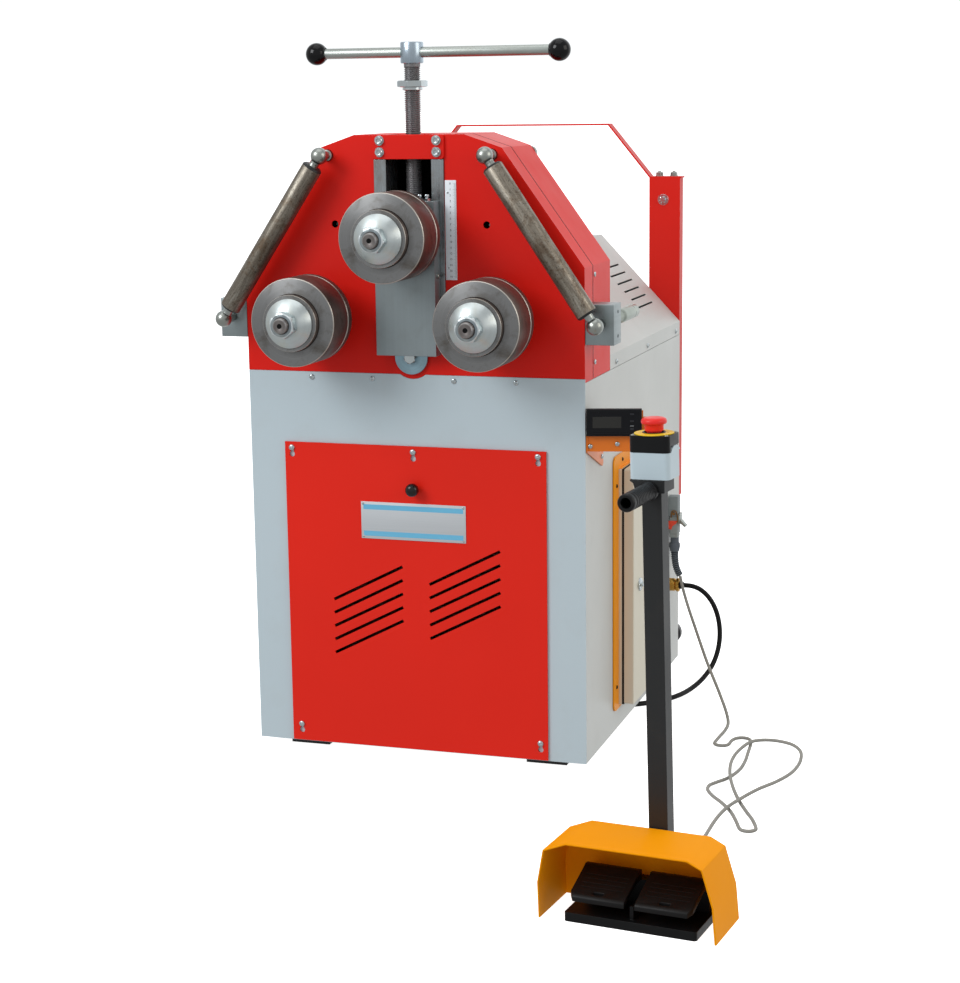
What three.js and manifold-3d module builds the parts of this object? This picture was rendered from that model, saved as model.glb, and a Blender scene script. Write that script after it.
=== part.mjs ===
// Three-roll section bending machine with a free-standing foot control.
// Units are millimetres, +Z up. The machine's front looks along -Y and +X is its right-hand side seen from the front.
// Dimensions below are given from the machine datum: the middle of the cabinet's front face, at the bottom edge of the sheet.
// The whole assembly is then shifted so that it stands on Z = 0 about the middle of its footprint.
import * as THREE from "three";
import { mergeVertices } from "three/addons/utils/BufferGeometryUtils.js";
import Module from "manifold-3d";

// ---------------------------------------------------------------- driving dimensions
const ORIGIN = [-167.27, -51.03, 18]; // shift from the machine datum to the middle of the footprint on the floor

const CAB_W = 628; // cabinet width
const CAB_D = 758; // cabinet depth
const CAB_FRONT_Z = 690.5; // top of the front sheet
const CAB_SIDE_Z = 684; // top of the side and back sheets
const FOOT_H = 18; // feet below the cabinet
const SHEET = 3; // cabinet sheet
const SWITCH_X = 293; // main switch on the back, near the right-hand edge
const GAP = 0.3; // clearance between neighbouring pieces

const SHIELD_Z0 = 691; // bottom of the shield's face
const SHIELD_SIDE_Z0 = 684.4; // bottom of the shield's sides
const SHIELD_OUT = [
  [314, 882],
  [168.5, 1085],
  [100.8, 1108],
]; // right-hand corners of the octagon, bottom to top
const SHIELD_SEAM_Y = 55; // seam between the two shield covers
const SHIELD_BACK_Y = 176; // back of the rear cover
const LOBE_R = 38.6; // round boss below the middle of the face

const SLOT_W = 129; // opening in the face for the slide
const SLOT_Z0 = 697;
const TOP_BAR_Z0 = 1066; // bottom of the bar that closes the slide

const LOW_X = 165; // lower shafts, from the middle
const LOW_Z = 794;
const TOP_Z = 939; // upper shaft, as shown
const DRIVE_Z = 721.6; // centre drive shaft
const ROLL_R = 76.6;
const ROLL_Y0 = -147; // front face of the rolls
const ROLL_SPLIT_Y = -78.9; // between the wide ring and the narrow one
const ROLL_Y1 = -60; // back of the rolls
const HUB_R = 49; // step on the front of the wide ring
const SHAFT_R = 25; // shaft inside the rolls
const JOURNAL_R = 30; // shaft inside the bearings
const THREAD_R = 13.5; // threaded nose
const NOSE_Y = -203; // end of the threaded nose

const GEAR_M = 8; // gear module
const GEAR_Z = 30;
const PINION_Z = 15;

const SCREW_Y = 26; // axis of the feed screw
const SCREW_R = 14.2;
const HUB_Z0 = 1229;
const HUB_Z1 = 1265;
const BAR_Z = 1247.3; // tommy bar
const BAR_R = 9;
const BAR_SHIFT = 44; // the bar stands off centre in its hub
const BAR_HALF = 220.5; // half the distance between the ball centres
const BALL_R = 19.3;

const ROD_TOP = [150.7, -40, 1073]; // ball centres of the inclined rods
const ROD_LOW = [342.3, -40, 786.5];
const ROD_R = 18.2;
const ROD_BALL_R = 14.6;

const STAND_ORIGIN = [555.8, -670.9, -18]; // middle of the front edge of the pedal base, on the floor
const STAND_TURN = (-6.5 * Math.PI) / 180; // the stand is turned a little on the floor
const STAND_LEAN = (-1.35 * Math.PI) / 180; // and its post leans a little to the left

// ---------------------------------------------------------------- solid helpers
const wasm = await Module();
wasm.setup();

function clean(geometry) {
  const g = geometry.clone();
  for (const name of Object.keys(g.attributes)) if (name !== "position") g.deleteAttribute(name);
  const m = mergeVertices(g, 1e-4);
  const tri = [];
  for (let i = 0; i < m.index.count; i += 3) {
    const a = m.index.getX(i),
      b = m.index.getX(i + 1),
      c = m.index.getX(i + 2);
    if (a !== b && b !== c && a !== c) tri.push(a, b, c);
  }
  return { points: m.attributes.position.array, tri };
}

function solid(geometry) {
  const { points, tri } = clean(geometry);
  return new wasm.Manifold(
    new wasm.Mesh({
      numProp: 3,
      vertProperties: new Float32Array(points),
      triVerts: new Uint32Array(tri),
    }),
  );
}

function geometryOf(s) {
  const m = s.getMesh();
  const p = new Float32Array(m.triVerts.length * 3);
  for (let i = 0; i < m.triVerts.length; i++)
    for (let k = 0; k < 3; k++) p[3 * i + k] = m.vertProperties[m.numProp * m.triVerts[i] + k];
  const g = new THREE.BufferGeometry().setAttribute("position", new THREE.BufferAttribute(p, 3));
  g.computeVertexNormals();
  return g;
}

const join = (...list) => list.reduce((a, b) => a.add(b));
const cut = (base, ...list) => list.reduce((a, b) => a.subtract(b), base);

// A block between two corners.
function block(x0, x1, y0, y1, z0, z1) {
  const g = new THREE.BoxGeometry(x1 - x0, y1 - y0, z1 - z0);
  g.translate((x0 + x1) / 2, (y0 + y1) / 2, (z0 + z1) / 2);
  return solid(g);
}

// A round bar between two points.
function bar(a, b, r0, r1 = r0, seg = 20) {
  const A = new THREE.Vector3(...a),
    B = new THREE.Vector3(...b);
  const d = B.clone().sub(A);
  const g = new THREE.CylinderGeometry(r1, r0, d.length(), seg, 1);
  g.applyQuaternion(new THREE.Quaternion().setFromUnitVectors(new THREE.Vector3(0, 1, 0), d.clone().normalize()));
  g.translate((A.x + B.x) / 2, (A.y + B.y) / 2, (A.z + B.z) / 2);
  return solid(g);
}

// A body turned about the line through c along the axis; the profile is [radius, distance along the axis].
function turned(profile, c, axis = "y", seg = 28) {
  const pts = profile.map(([r, t]) => new THREE.Vector2(Math.max(r, 0), t));
  const area = profile.reduce((s, p, i) => {
    const q = profile[(i + 1) % profile.length];
    return s + p[0] * q[1] - q[0] * p[1];
  }, 0);
  if (area < 0) pts.reverse();
  if (profile[0][0] > 0 || profile[profile.length - 1][0] > 0) pts.push(pts[0].clone());
  const g = new THREE.LatheGeometry(pts, seg);
  if (axis === "y") {
    // the lathe's own axis is already Y
  } else if (axis === "z") g.rotateX(Math.PI / 2);
  else if (axis === "x") g.rotateZ(-Math.PI / 2);
  g.translate(c[0], c[1], c[2]);
  const s = solid(g);
  return s;
}

function ball(c, r, seg = 16) {
  const g = new THREE.SphereGeometry(r, seg, Math.round(seg * 0.6));
  g.translate(...c);
  return solid(g);
}

function shapeOf(points, holes = []) {
  const s = new THREE.Shape(points.map(([x, y]) => new THREE.Vector2(x, y)));
  for (const h of holes) s.holes.push(new THREE.Path(h.map(([x, y]) => new THREE.Vector2(x, y))));
  return s;
}

// An outline in X and Z, carried from y0 to y1.
function slabXZ(points, y0, y1, holes = []) {
  const g = new THREE.ExtrudeGeometry(shapeOf(points, holes), { depth: y1 - y0, bevelEnabled: false, curveSegments: 12 });
  g.rotateX(Math.PI / 2); // (x, y, z) -> (x, -z, y)
  g.translate(0, y1, 0);
  return solid(g);
}

// An outline in Y and Z, carried from x0 to x1.
function slabYZ(points, x0, x1, holes = []) {
  const g = new THREE.ExtrudeGeometry(shapeOf(points, holes), { depth: x1 - x0, bevelEnabled: false, curveSegments: 12 });
  g.applyMatrix4(new THREE.Matrix4().set(0, 0, 1, x0, 1, 0, 0, 0, 0, 1, 0, 0, 0, 0, 0, 1));
  return solid(g);
}

// An outline in X and Y, carried from z0 to z1.
function slabXY(points, z0, z1, holes = []) {
  const g = new THREE.ExtrudeGeometry(shapeOf(points, holes), { depth: z1 - z0, bevelEnabled: false, curveSegments: 12 });
  g.translate(0, 0, z0);
  return solid(g);
}

const circle = (cx, cy, r, n = 32, a0 = 0) =>
  Array.from({ length: n }, (_, i) => {
    const a = a0 + (i / n) * 2 * Math.PI;
    return [cx + r * Math.cos(a), cy + r * Math.sin(a)];
  });

const hexagon = (cx, cy, flats, a0 = 0) => circle(cx, cy, flats / Math.sqrt(3), 6, a0);

// A polygon with its corners rounded.
function rounded(points, r, n = 4) {
  const out = [];
  points.forEach((p, i) => {
    const a = points[(i + points.length - 1) % points.length],
      b = points[(i + 1) % points.length];
    const rr = Array.isArray(r) ? r[i] : r;
    if (!rr) return out.push(p);
    const u = new THREE.Vector2(a[0] - p[0], a[1] - p[1]).normalize(),
      v = new THREE.Vector2(b[0] - p[0], b[1] - p[1]).normalize();
    const half = Math.acos(THREE.MathUtils.clamp(u.dot(v), -1, 1)) / 2;
    const t = rr / Math.tan(half);
    const mid = u.clone().add(v).normalize().multiplyScalar(rr / Math.sin(half));
    const c = [p[0] + mid.x, p[1] + mid.y];
    const s0 = Math.atan2(p[1] + u.y * t - c[1], p[0] + u.x * t - c[0]);
    let s1 = Math.atan2(p[1] + v.y * t - c[1], p[0] + v.x * t - c[0]);
    if (s1 - s0 > Math.PI) s1 -= 2 * Math.PI;
    if (s0 - s1 > Math.PI) s1 += 2 * Math.PI;
    for (let k = 0; k <= n; k++) {
      const s = s0 + ((s1 - s0) * k) / n;
      out.push([c[0] + rr * Math.cos(s), c[1] + rr * Math.sin(s)]);
    }
  });
  return out;
}

const rect = (x0, x1, y0, y1) => [
  [x0, y0],
  [x1, y0],
  [x1, y1],
  [x0, y1],
];

// Moves each edge of a convex outline inwards by t (outline anticlockwise).
function inset(points, t) {
  const n = points.length;
  const lines = points.map((p, i) => {
    const q = points[(i + 1) % n];
    const d = new THREE.Vector2(q[0] - p[0], q[1] - p[1]).normalize();
    return { p: [p[0] - d.y * t, p[1] + d.x * t], d };
  });
  return points.map((_, i) => {
    const A = lines[(i + n - 1) % n],
      B = lines[i];
    const det = A.d.x * B.d.y - A.d.y * B.d.x;
    const s = ((B.p[0] - A.p[0]) * B.d.y - (B.p[1] - A.p[1]) * B.d.x) / det;
    return [A.p[0] + A.d.x * s, A.p[1] + A.d.y * s];
  });
}

// A tube along a smooth curve through the points.
function tube(points, r, steps, sides = 10) {
  const curve = new THREE.CatmullRomCurve3(points.map((p) => new THREE.Vector3(...p)), false, "centripetal");
  const shape = new THREE.Shape(
    Array.from({ length: sides }, (_, i) => {
      const a = (i / sides) * 2 * Math.PI;
      return new THREE.Vector2(r * Math.cos(a), r * Math.sin(a));
    }),
  );
  return solid(new THREE.ExtrudeGeometry(shape, { steps, extrudePath: curve, bevelEnabled: false }));
}

// ---------------------------------------------------------------- the scene
const machine = new THREE.Group();
machine.position.set(ORIGIN[0], ORIGIN[1], ORIGIN[2]);

const paint = (color, roughness = 0.45, metalness = 0.1) => new THREE.MeshStandardMaterial({ color, roughness, metalness });
const RED = () => paint(0xc8201c);
const GREY = () => paint(0xb9c2c6);
const STEEL = () => paint(0x8b8d8c, 0.4, 0.9);
const DARK = () => paint(0x55534e, 0.45, 0.8);
const ZINC = () => paint(0xb9c0c0, 0.3, 0.9);
const ORANGE = () => paint(0xe07a1e);
const BLACK = () => paint(0x17181a, 0.5, 0);

function add(name, s, material, parent = machine) {
  const mesh = new THREE.Mesh(geometryOf(s), material);
  mesh.name = name;
  parent.add(mesh);
  return mesh;
}

const HW = CAB_W / 2;
const mirror = (pts) => pts.map(([x, z]) => [-x, z]).reverse();

// ---------------------------------------------------------------- cabinet
{
  // Side and back sheets, folded from one piece, open at the top and front.
  const outer = block(-HW, HW, SHEET + GAP, CAB_D, 0, CAB_SIDE_Z);
  const inner = block(-HW + SHEET, HW - SHEET, -5, CAB_D - SHEET, -5, CAB_SIDE_Z + 5);
  const enclosureHole = block(HW - 10, HW + 10, 235, 497, 57, 485);
  const connectorHole = bar([HW - 10, 668, 343], [HW + 10, 668, 343], 8, 8, 14);
  const glandHole = bar([HW - 10, 668, 176], [HW + 10, 668, 176], 10.3, 10.3, 14);
  const switchHole = bar([SWITCH_X, CAB_D - 10, 46], [SWITCH_X, CAB_D + 10, 46], 8.4, 8.4, 14);
  add("cabinet_body", cut(outer, inner, enclosureHole, connectorHole, glandHole, switchHole), GREY());

  // Front sheet with the opening behind the access panel and the notch for the shield's boss.
  const front = block(-HW, HW, 0, SHEET, 0, CAB_FRONT_Z);
  const opening = block(-205, 205, -5, 10, 60, 515);
  const notch = bar([0, -5, DRIVE_Z], [0, 10, DRIVE_Z], LOBE_R + 0.6, LOBE_R + 0.6, 28);
  const studs = PANEL_SCREWS().map(([x, z]) =>
    join(bar([x, 1, z], [x, -5.2, z], 2.9, 2.9, 8), bar([x, -4.6, z], [x, -7.4, z], 4.9, 4.0, 10)),
  );
  add("cabinet_front", join(cut(front, opening, notch), ...studs), GREY());

  // Floor tray with four feet.
  const tray = block(-HW + SHEET + 0.5, HW - SHEET - 0.5, SHEET + 0.8, CAB_D - SHEET - 0.5, 0.2, 3.2);
  const feet = [];
  for (const x of [-230, 230]) for (const y of [75, CAB_D - 75]) feet.push(block(x - 38, x + 38, y - 38, y + 38, -FOOT_H, 1));
  add("cabinet_base", join(tray, ...feet), BLACK());
}

function PANEL_SCREWS() {
  return [
    [-233, 552],
    [-1, 552],
    [230, 553],
    [-229, 33],
    [231, 33],
  ];
}

// ---------------------------------------------------------------- access panel, hung on keyholes
{
  let panel = block(-246.5, 244.5, -4.2, -1.2, 2, 562.3);
  for (const [x, z] of PANEL_SCREWS())
    panel = cut(
      panel,
      bar([x, -9, z - 12], [x, 5, z - 12], 5.4, 5.4, 12),
      block(x - 3.4, x + 3.4, -9, 5, z - 12, z + 0.6),
      bar([x, -9, z + 0.2], [x, 5, z + 0.2], 3.4, 3.4, 8),
    );
  // Plain slanted air slots in two columns.
  for (const [cx, side] of [
    [-92, 0],
    [92, 1],
  ])
    for (let k = 0; k < 5; k++) {
      const z = 208 + k * 25 + side * 38;
      const g = new THREE.BoxGeometry(150, 12, 5.5);
      g.rotateY((-27 * Math.PI) / 180);
      g.translate(cx, -3, z);
      panel = panel.subtract(solid(g));
    }
  add("access_panel", panel, RED());
  add("panel_knob", join(bar([1.5, -4.5, 486.5], [1.5, -12, 486.5], 5, 5, 14), turned([[0, -31], [7, -30.4], [11, -27], [12, -21.5], [11, -16], [7, -11.5], [0, -11]], [1.5, 0, 486.5], "y", 18)), BLACK());
}

// ---------------------------------------------------------------- shield
const octagonRight = [[HW, SHIELD_Z0], ...SHIELD_OUT];
const octagon = [...octagonRight, ...mirror(octagonRight)];
const octagonLow = [[HW, SHIELD_SIDE_Z0], ...SHIELD_OUT, ...mirror([[HW, SHIELD_SIDE_Z0], ...SHIELD_OUT])];
{
  const rim = inset([...octagonLow.map(([x, z]) => (z < 690 ? [x, z - 20] : [x, z]))], SHEET);
  const rimOpen = rim;
  // Front cover: a face with sides folded back.
  const face = slabXZ(octagon, 0, SHEET);
  const sides = cut(slabXZ(octagonLow, SHEET - 0.5, SHIELD_SEAM_Y - 0.3), slabXZ(rimOpen, -1, SHIELD_SEAM_Y + 5));
  // the sides hang a few millimetres lower than the face, outside the cabinet's top edge
  const lobe = bar([0, 0, DRIVE_Z], [0, SHEET, DRIVE_Z], LOBE_R, LOBE_R, 32);
  let front = join(face, sides, lobe);
  front = cut(
    front,
    block(-SLOT_W / 2, SLOT_W / 2, -5, 10, SLOT_Z0 + 62, TOP_BAR_Z0 + 1),
    bar([0, -5, DRIVE_Z], [0, 10, DRIVE_Z], 24, 24, 20),
    ...[-1, 1].flatMap((s) => [
      bar([s * LOW_X, -5, LOW_Z], [s * LOW_X, 10, LOW_Z], 34, 34, 24),
      bar([s * ROD_TOP[0], -5, ROD_TOP[2]], [s * ROD_TOP[0], 10, ROD_TOP[2]], 10.5, 10.5, 16),
      bar([s * 140, -5, 953.5], [s * 140, 10, 953.5], 6.5, 6.5, 16),
    ]),
    block(-40, 40, 5.5, SHIELD_SEAM_Y + 5, 1090, 1120), // clearance for the feed screw
    block(-HW - 5, HW + 5, 2.2, SHEET + GAP, SHIELD_SIDE_Z0 - 5, CAB_FRONT_Z + 0.4), // top edge of the cabinet's front sheet
  );
  add("shield_front", front, RED());

  // Rear cover: the same outline carried back, with a partly open back plate.
  const shell = cut(slabXZ(octagonLow, SHIELD_SEAM_Y + 0.3, SHIELD_BACK_Y), slabXZ(rimOpen, SHIELD_SEAM_Y - 5, SHIELD_BACK_Y - SHEET));
  const under = [
    [300, 660],
    [300, 706],
    [141, 879],
    [-141, 879],
    [-300, 706],
    [-300, 660],
  ];
  add("shield_rear", cut(shell, slabXZ(under, SHIELD_BACK_Y - 10, SHIELD_BACK_Y + 10)), RED());
}

// ---------------------------------------------------------------- rear hood
{
  const out = [
    [HW, CAB_SIDE_Z + 0.4],
    [HW, 711.5],
    [148.6, 887.6],
    [-148.6, 887.6],
    [-HW, 711.5],
    [-HW, CAB_SIDE_Z + 0.4],
  ];
  const low = out.map(([x, z]) => (z < 690 ? [x, z - 20] : [x, z]));
  let hood = cut(slabXZ(out, SHIELD_BACK_Y + 0.4, CAB_D), slabXZ(inset(low, 2.5), SHIELD_BACK_Y - 10, CAB_D - 2.5));
  const slope = Math.atan2(887.6 - 711.5, 148.6 - HW);
  for (const s of [-1, 1])
    for (let k = 0; k < 6; k++) {
      const g = new THREE.BoxGeometry(3.6, 121, 30);
      g.rotateY(s * (Math.PI / 2 - slope + Math.PI / 2));
      g.translate(s * (201 + 14.1 * k), 633, 832 - 15 * k);
      hood = hood.subtract(solid(g));
    }
  add("rear_hood", hood, GREY());
}

// ---------------------------------------------------------------- main frame: two thick plates with spacers, and the studs of the inclined rods
const rodDir = (s) => new THREE.Vector3(s * (ROD_LOW[0] - ROD_TOP[0]), 0, ROD_LOW[2] - ROD_TOP[2]).normalize();
{
  const plate = inset(octagon.map(([x, z]) => (z < 700 ? [x, 640] : [x, z])), 8);
  let front = slabXZ(plate, 30, 60);
  front = cut(
    front,
    block(-66.8, 66.8, 20, 70, 697, 1130),
    bar([0, 20, DRIVE_Z], [0, 70, DRIVE_Z], 26, 26, 20),
    ...[-1, 1].map((s) => bar([s * LOW_X, 20, LOW_Z], [s * LOW_X, 70, LOW_Z], JOURNAL_R + 0.4, JOURNAL_R + 0.4, 20)),
  );
  const rear = cut(
    block(-292, 292, 146, 166, 630, 700),
    bar([0, 120, DRIVE_Z], [0, 180, DRIVE_Z], 20.4, 20.4, 18),
  );
  const rearTop = cut(
    slabXZ([[292, 690], [292, 760], [225, 862], [96, 862], [96, 760], [-96, 760], [-96, 862], [-225, 862], [-292, 760], [-292, 690]], 146, 166),
    bar([0, 120, DRIVE_Z], [0, 180, DRIVE_Z], 20.4, 20.4, 18),
    ...[-1, 1].map((s) => bar([s * LOW_X, 120, LOW_Z], [s * LOW_X, 180, LOW_Z], SHAFT_R + 0.4, SHAFT_R + 0.4, 18)),
  );
  const posts = [];
  for (const x of [-278, 278]) posts.push(bar([x, 58, 652], [x, 148, 652], 13, 13, 10));
  for (const x of [-38, 38]) posts.push(bar([x, 58, 650], [x, 148, 650], 11, 11, 10));
  let frame = join(front, cut(join(rear, rearTop), bar([0, 120, DRIVE_Z], [0, 180, DRIVE_Z], 20.4, 20.4, 18)), ...posts);
  for (const s of [-1, 1]) {
    const c = [s * ROD_TOP[0], ROD_TOP[1], ROD_TOP[2]];
    const d = rodDir(s);
    frame = join(
      frame,
      bar([c[0], 31, c[2]], [c[0], c[1], c[2]], 6.2, 6.2, 10),
      ball(c, ROD_BALL_R, 12),
      bar(c, [c[0] + d.x * 38, c[1], c[2] + d.z * 38], 8.2, 8.2, 12),
    );
  }
  add("main_frame", frame, DARK());
}

// ---------------------------------------------------------------- slide rails, top bar and feed nut
for (const s of [-1, 1]) {
  const x0 = s > 0 ? 41.6 : -64.2,
    x1 = s > 0 ? 64.2 : -41.6;
  add(s > 0 ? "slide_rail_right" : "slide_rail_left", block(x0, x1, -3, 59.5, 760, TOP_BAR_Z0 - 0.4), STEEL());
}
add("top_bar", slabXZ(rounded(rect(-65.5, 65.5, TOP_BAR_Z0, 1107.5), [5, 5, 3, 3], 3), -5, -0.4), RED());
add("feed_nut", cut(block(-66, 66, 4, 59, TOP_BAR_Z0 + 0.3, 1089), bar([0, SCREW_Y, 1050], [0, SCREW_Y, 1120], SCREW_R + 0.4, SCREW_R + 0.4, 20)), paint(0x9a7a3a, 0.4, 0.9));

// ---------------------------------------------------------------- slide block that carries the upper roll
{
  const slab = block(-55.2, 55.2, -32, -3.6, 727, 995);
  const body = block(-41.2, 41.2, -4, 76, 880, 995);
  const keeper = block(-78, 78, 60.6, 76, 880, 995);
  const s = cut(
    join(slab, body, keeper),
    bar([0, -50, TOP_Z], [0, 100, TOP_Z], JOURNAL_R + 0.5, JOURNAL_R + 0.5, 20),
    bar([0, SCREW_Y, 975.5], [0, SCREW_Y, 1010], SCREW_R + 0.5, SCREW_R + 0.5, 20),
    block(-33, 33, -17, 5, 700, 832), // relief over the drive shaft's washer
  );
  add("slide_block", s, STEEL());
}

// ---------------------------------------------------------------- rolls
function gearProfile(m, z, cx, cz, phase) {
  const ra = m * (z / 2 + 0.8),
    rf = m * (z / 2 - 1.1),
    pts = [];
  for (let i = 0; i < z; i++) {
    const a = phase + (i / z) * 2 * Math.PI,
      p = (2 * Math.PI) / z;
    for (const [f, r] of [
      [-0.27, rf],
      [-0.1, ra],
      [0.1, ra],
      [0.27, rf],
    ])
      pts.push([cx + r * Math.cos(a + f * p), cz + r * Math.sin(a + f * p)]);
  }
  return pts;
}

function rollSet(tag, x, z, { gearPhase = null, rearY }) {
  const c = [x, 0, z];
  // shaft: nose thread, roll seat, collar, journal, tail
  const profile = [
    [0, NOSE_Y + 9],
    [3.4, NOSE_Y + 9],
    [3.4, NOSE_Y],
    [THREAD_R - 2, NOSE_Y],
    [THREAD_R, NOSE_Y + 2],
    [THREAD_R, -158],
    [SHAFT_R, -157],
    [SHAFT_R, ROLL_Y1 + 0.3],
    [40, ROLL_Y1 + 0.3],
  ];
  if (gearPhase === null) {
    profile.push([40, -32.4], [JOURNAL_R, -32.4], [JOURNAL_R, 76.4], [36, 76.4], [36, 90], [0, 90]);
  } else {
    profile.push([40, -5], [JOURNAL_R, -5], [JOURNAL_R, 78], [SHAFT_R, 78], [SHAFT_R, rearY], [0, rearY]);
  }
  let shaft = turned(profile, c, "y", 16);
  if (gearPhase !== null) shaft = join(shaft, slabXZ(gearProfile(GEAR_M, GEAR_Z, x, z, gearPhase), 82, 120));
  add(tag + "_shaft", shaft, STEEL());

  const bore = SHAFT_R + 0.35;
  const ch = 2.2;
  add(
    tag + "_roll",
    turned(
      [
        [bore, -160],
        [HUB_R, -160],
        [HUB_R, ROLL_Y0],
        [ROLL_R - ch, ROLL_Y0],
        [ROLL_R, ROLL_Y0 + ch],
        [ROLL_R, ROLL_SPLIT_Y - 0.15],
        [bore, ROLL_SPLIT_Y - 0.15],
      ],
      c,
      "y",
      32,
    ),
    DARK(),
  );
  add(
    tag + "_roll_rear",
    turned(
      [
        [bore, ROLL_SPLIT_Y + 0.15],
        [ROLL_R, ROLL_SPLIT_Y + 0.15],
        [ROLL_R, ROLL_Y1],
        [bore, ROLL_Y1],
      ],
      c,
      "y",
      32,
    ),
    DARK(),
  );
  // cone washer and hexagon nut
  const cone = turned(
    [
      [THREAD_R + 0.35, -160.3],
      [42.3, -160.3],
      [42.3, -163.5],
      [23.5, -177],
      [THREAD_R + 0.35, -177],
    ],
    c,
    "y",
    18,
  );
  const hex = cut(slabXZ(hexagon(x, z, 41, 0.28), -196, -176.5), bar([x, -200, z], [x, -170, z], THREAD_R + 0.35, THREAD_R + 0.35, 16));
  add(tag + "_nut", join(cone, hex), ZINC());
}

rollSet("upper", 0, TOP_Z, { rearY: 90 });
// The pinion has a tooth pointing at the right gear; both gears are turned to mesh with it.
const MESH = Math.atan2(LOW_Z - DRIVE_Z, LOW_X);
const STEP = (2 * Math.PI) / PINION_Z;
const toLeft = Math.PI - MESH;
const space = MESH + (Math.floor((toLeft - MESH) / STEP) + 0.5) * STEP;
rollSet("left", -LOW_X, LOW_Z, { gearPhase: -MESH - ((space - toLeft) * PINION_Z) / GEAR_Z, rearY: 176 });
rollSet("right", LOW_X, LOW_Z, { gearPhase: Math.PI + MESH + Math.PI / GEAR_Z, rearY: 176 });

// ---------------------------------------------------------------- centre drive shaft with its pinion, gearbox and motor
{
  const shaft = turned(
    [
      [0, -3],
      [0, -3],
      [20, -3],
      [20, 240],
      [0, 240],
    ].slice(1),
    [0, 0, DRIVE_Z],
    "y",
    36,
  );
  const pinion = slabXZ(gearProfile(GEAR_M, PINION_Z, 0, DRIVE_Z, Math.atan2(LOW_Z - DRIVE_Z, LOW_X)), 80, 122);
  const washer = bar([0, -2, DRIVE_Z], [0, -7.5, DRIVE_Z], 30, 29.4, 28);
  const head = slabXZ(hexagon(0, DRIVE_Z, 19, 0.2), -16, -7);
  add("drive_shaft", join(shaft, pinion, washer, head), STEEL());
  // worm gearbox behind the rear plate, with its motor hanging below
  const box = join(
    block(-78, 78, 166.4, 300, 640, 808),
    bar([0, 244, 640.5], [0, 244, 350], 74, 74, 20),
    block(72, 112, 201, 287, 430, 530),
    bar([0, 244, 352], [0, 244, 318], 74, 66, 20),
  );
  add("gear_motor", cut(box, bar([0, 150, DRIVE_Z], [0, 242, DRIVE_Z], 20.4, 20.4, 18)), paint(0x4c5a62, 0.5, 0.4));
}

// ---------------------------------------------------------------- feed screw with stop nut, hub, bar and balls
{
  const screw = turned(
    [
      [0, 976],
      [SCREW_R - 1.5, 976],
      [SCREW_R, 977.5],
      [SCREW_R, HUB_Z0 + 0],
      [0, HUB_Z0 + 0],
    ],
    [0, SCREW_Y, 0],
    "z",
    20,
  );
  const washer = bar([0, SCREW_Y, 1183.2], [0, SCREW_Y, 1188.4], 17.5, 17.5, 24);
  const g = slabXY(hexagon(0, SCREW_Y, 46, 0.42), 1188, 1200);
  const hub = turned(
    [
      [0, HUB_Z0 - 0.5],
      [18.6, HUB_Z0 - 0.5],
      [20, HUB_Z0 + 1],
      [20, HUB_Z1 - 1.5],
      [18.5, HUB_Z1],
      [0, HUB_Z1],
    ],
    [0, SCREW_Y, 0],
    "z",
    24,
  );
  const hole = bar([-40, SCREW_Y, BAR_Z], [40, SCREW_Y, BAR_Z], BAR_R + 0.35, BAR_R + 0.35, 18);
  add("feed_screw", join(screw, washer, g, cut(hub, hole)), STEEL());

  const xl = BAR_SHIFT - BAR_HALF,
    xr = BAR_SHIFT + BAR_HALF;
  add("tommy_bar", bar([xl + 2, SCREW_Y, BAR_Z], [xr - 2, SCREW_Y, BAR_Z], BAR_R, BAR_R, 18), STEEL());
  for (const [n, x, s] of [
    ["tommy_ball_left", xl, 1],
    ["tommy_ball_right", xr, -1],
  ])
    add(n, cut(ball([x, SCREW_Y, BAR_Z], BALL_R, 16), bar([x - s * 1.6, SCREW_Y, BAR_Z], [x + s * 40, SCREW_Y, BAR_Z], BAR_R + 0.3, BAR_R + 0.3, 18)), BLACK());
}

// ---------------------------------------------------------------- inclined rods and side blocks
for (const s of [-1, 1]) {
  const side = s > 0 ? "right" : "left";
  const T = new THREE.Vector3(s * ROD_TOP[0], ROD_TOP[1], ROD_TOP[2]),
    L = new THREE.Vector3(s * ROD_LOW[0], ROD_LOW[1], ROD_LOW[2]);
  const d = L.clone().sub(T).normalize();
  const a = T.clone().addScaledVector(d, 21),
    b = L.clone().addScaledVector(d, -22);
  const len = a.distanceTo(b);
  const g = new THREE.LatheGeometry(
    [
      [8.7, 0],
      [15.2, 0],
      [ROD_R, 3.2],
      [ROD_R, len - 3.2],
      [15.2, len],
      [8.7, len],
      [8.7, 0],
    ].map((p) => new THREE.Vector2(...p)),
    20,
  );
  g.applyQuaternion(new THREE.Quaternion().setFromUnitVectors(new THREE.Vector3(0, 1, 0), d));
  g.translate(a.x, a.y, a.z);
  add("tie_rod_" + side, solid(g), DARK());

  const x0 = HW + 0.6,
    x1 = 365.4;
  const sq = block(s > 0 ? x0 : -x1, s > 0 ? x1 : -x0, -0.3, 50, 750, 820);
  const c = [s * ROD_LOW[0], 0, ROD_LOW[2]];
  const pin = turned(
    [
      [0, 40],
      [9, 40],
      [9, 132],
      [12.5, 138],
      [12.5, 232],
      [10.5, 238],
      [6, 241],
      [0, 241],
    ],
    c,
    "y",
    18,
  );
  const e = [L.x - d.x * 38, L.y, L.z - d.z * 38];
  const stud = bar([c[0], 5, c[2]], [L.x, L.y, L.z], 6.6, 6.6, 10);
  add("guide_block_" + side, join(sq, pin, stud, ball([L.x, L.y, L.z], ROD_BALL_R, 12), bar([L.x, L.y, L.z], e, 8.2, 8.2, 12)), ZINC());
}

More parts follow.
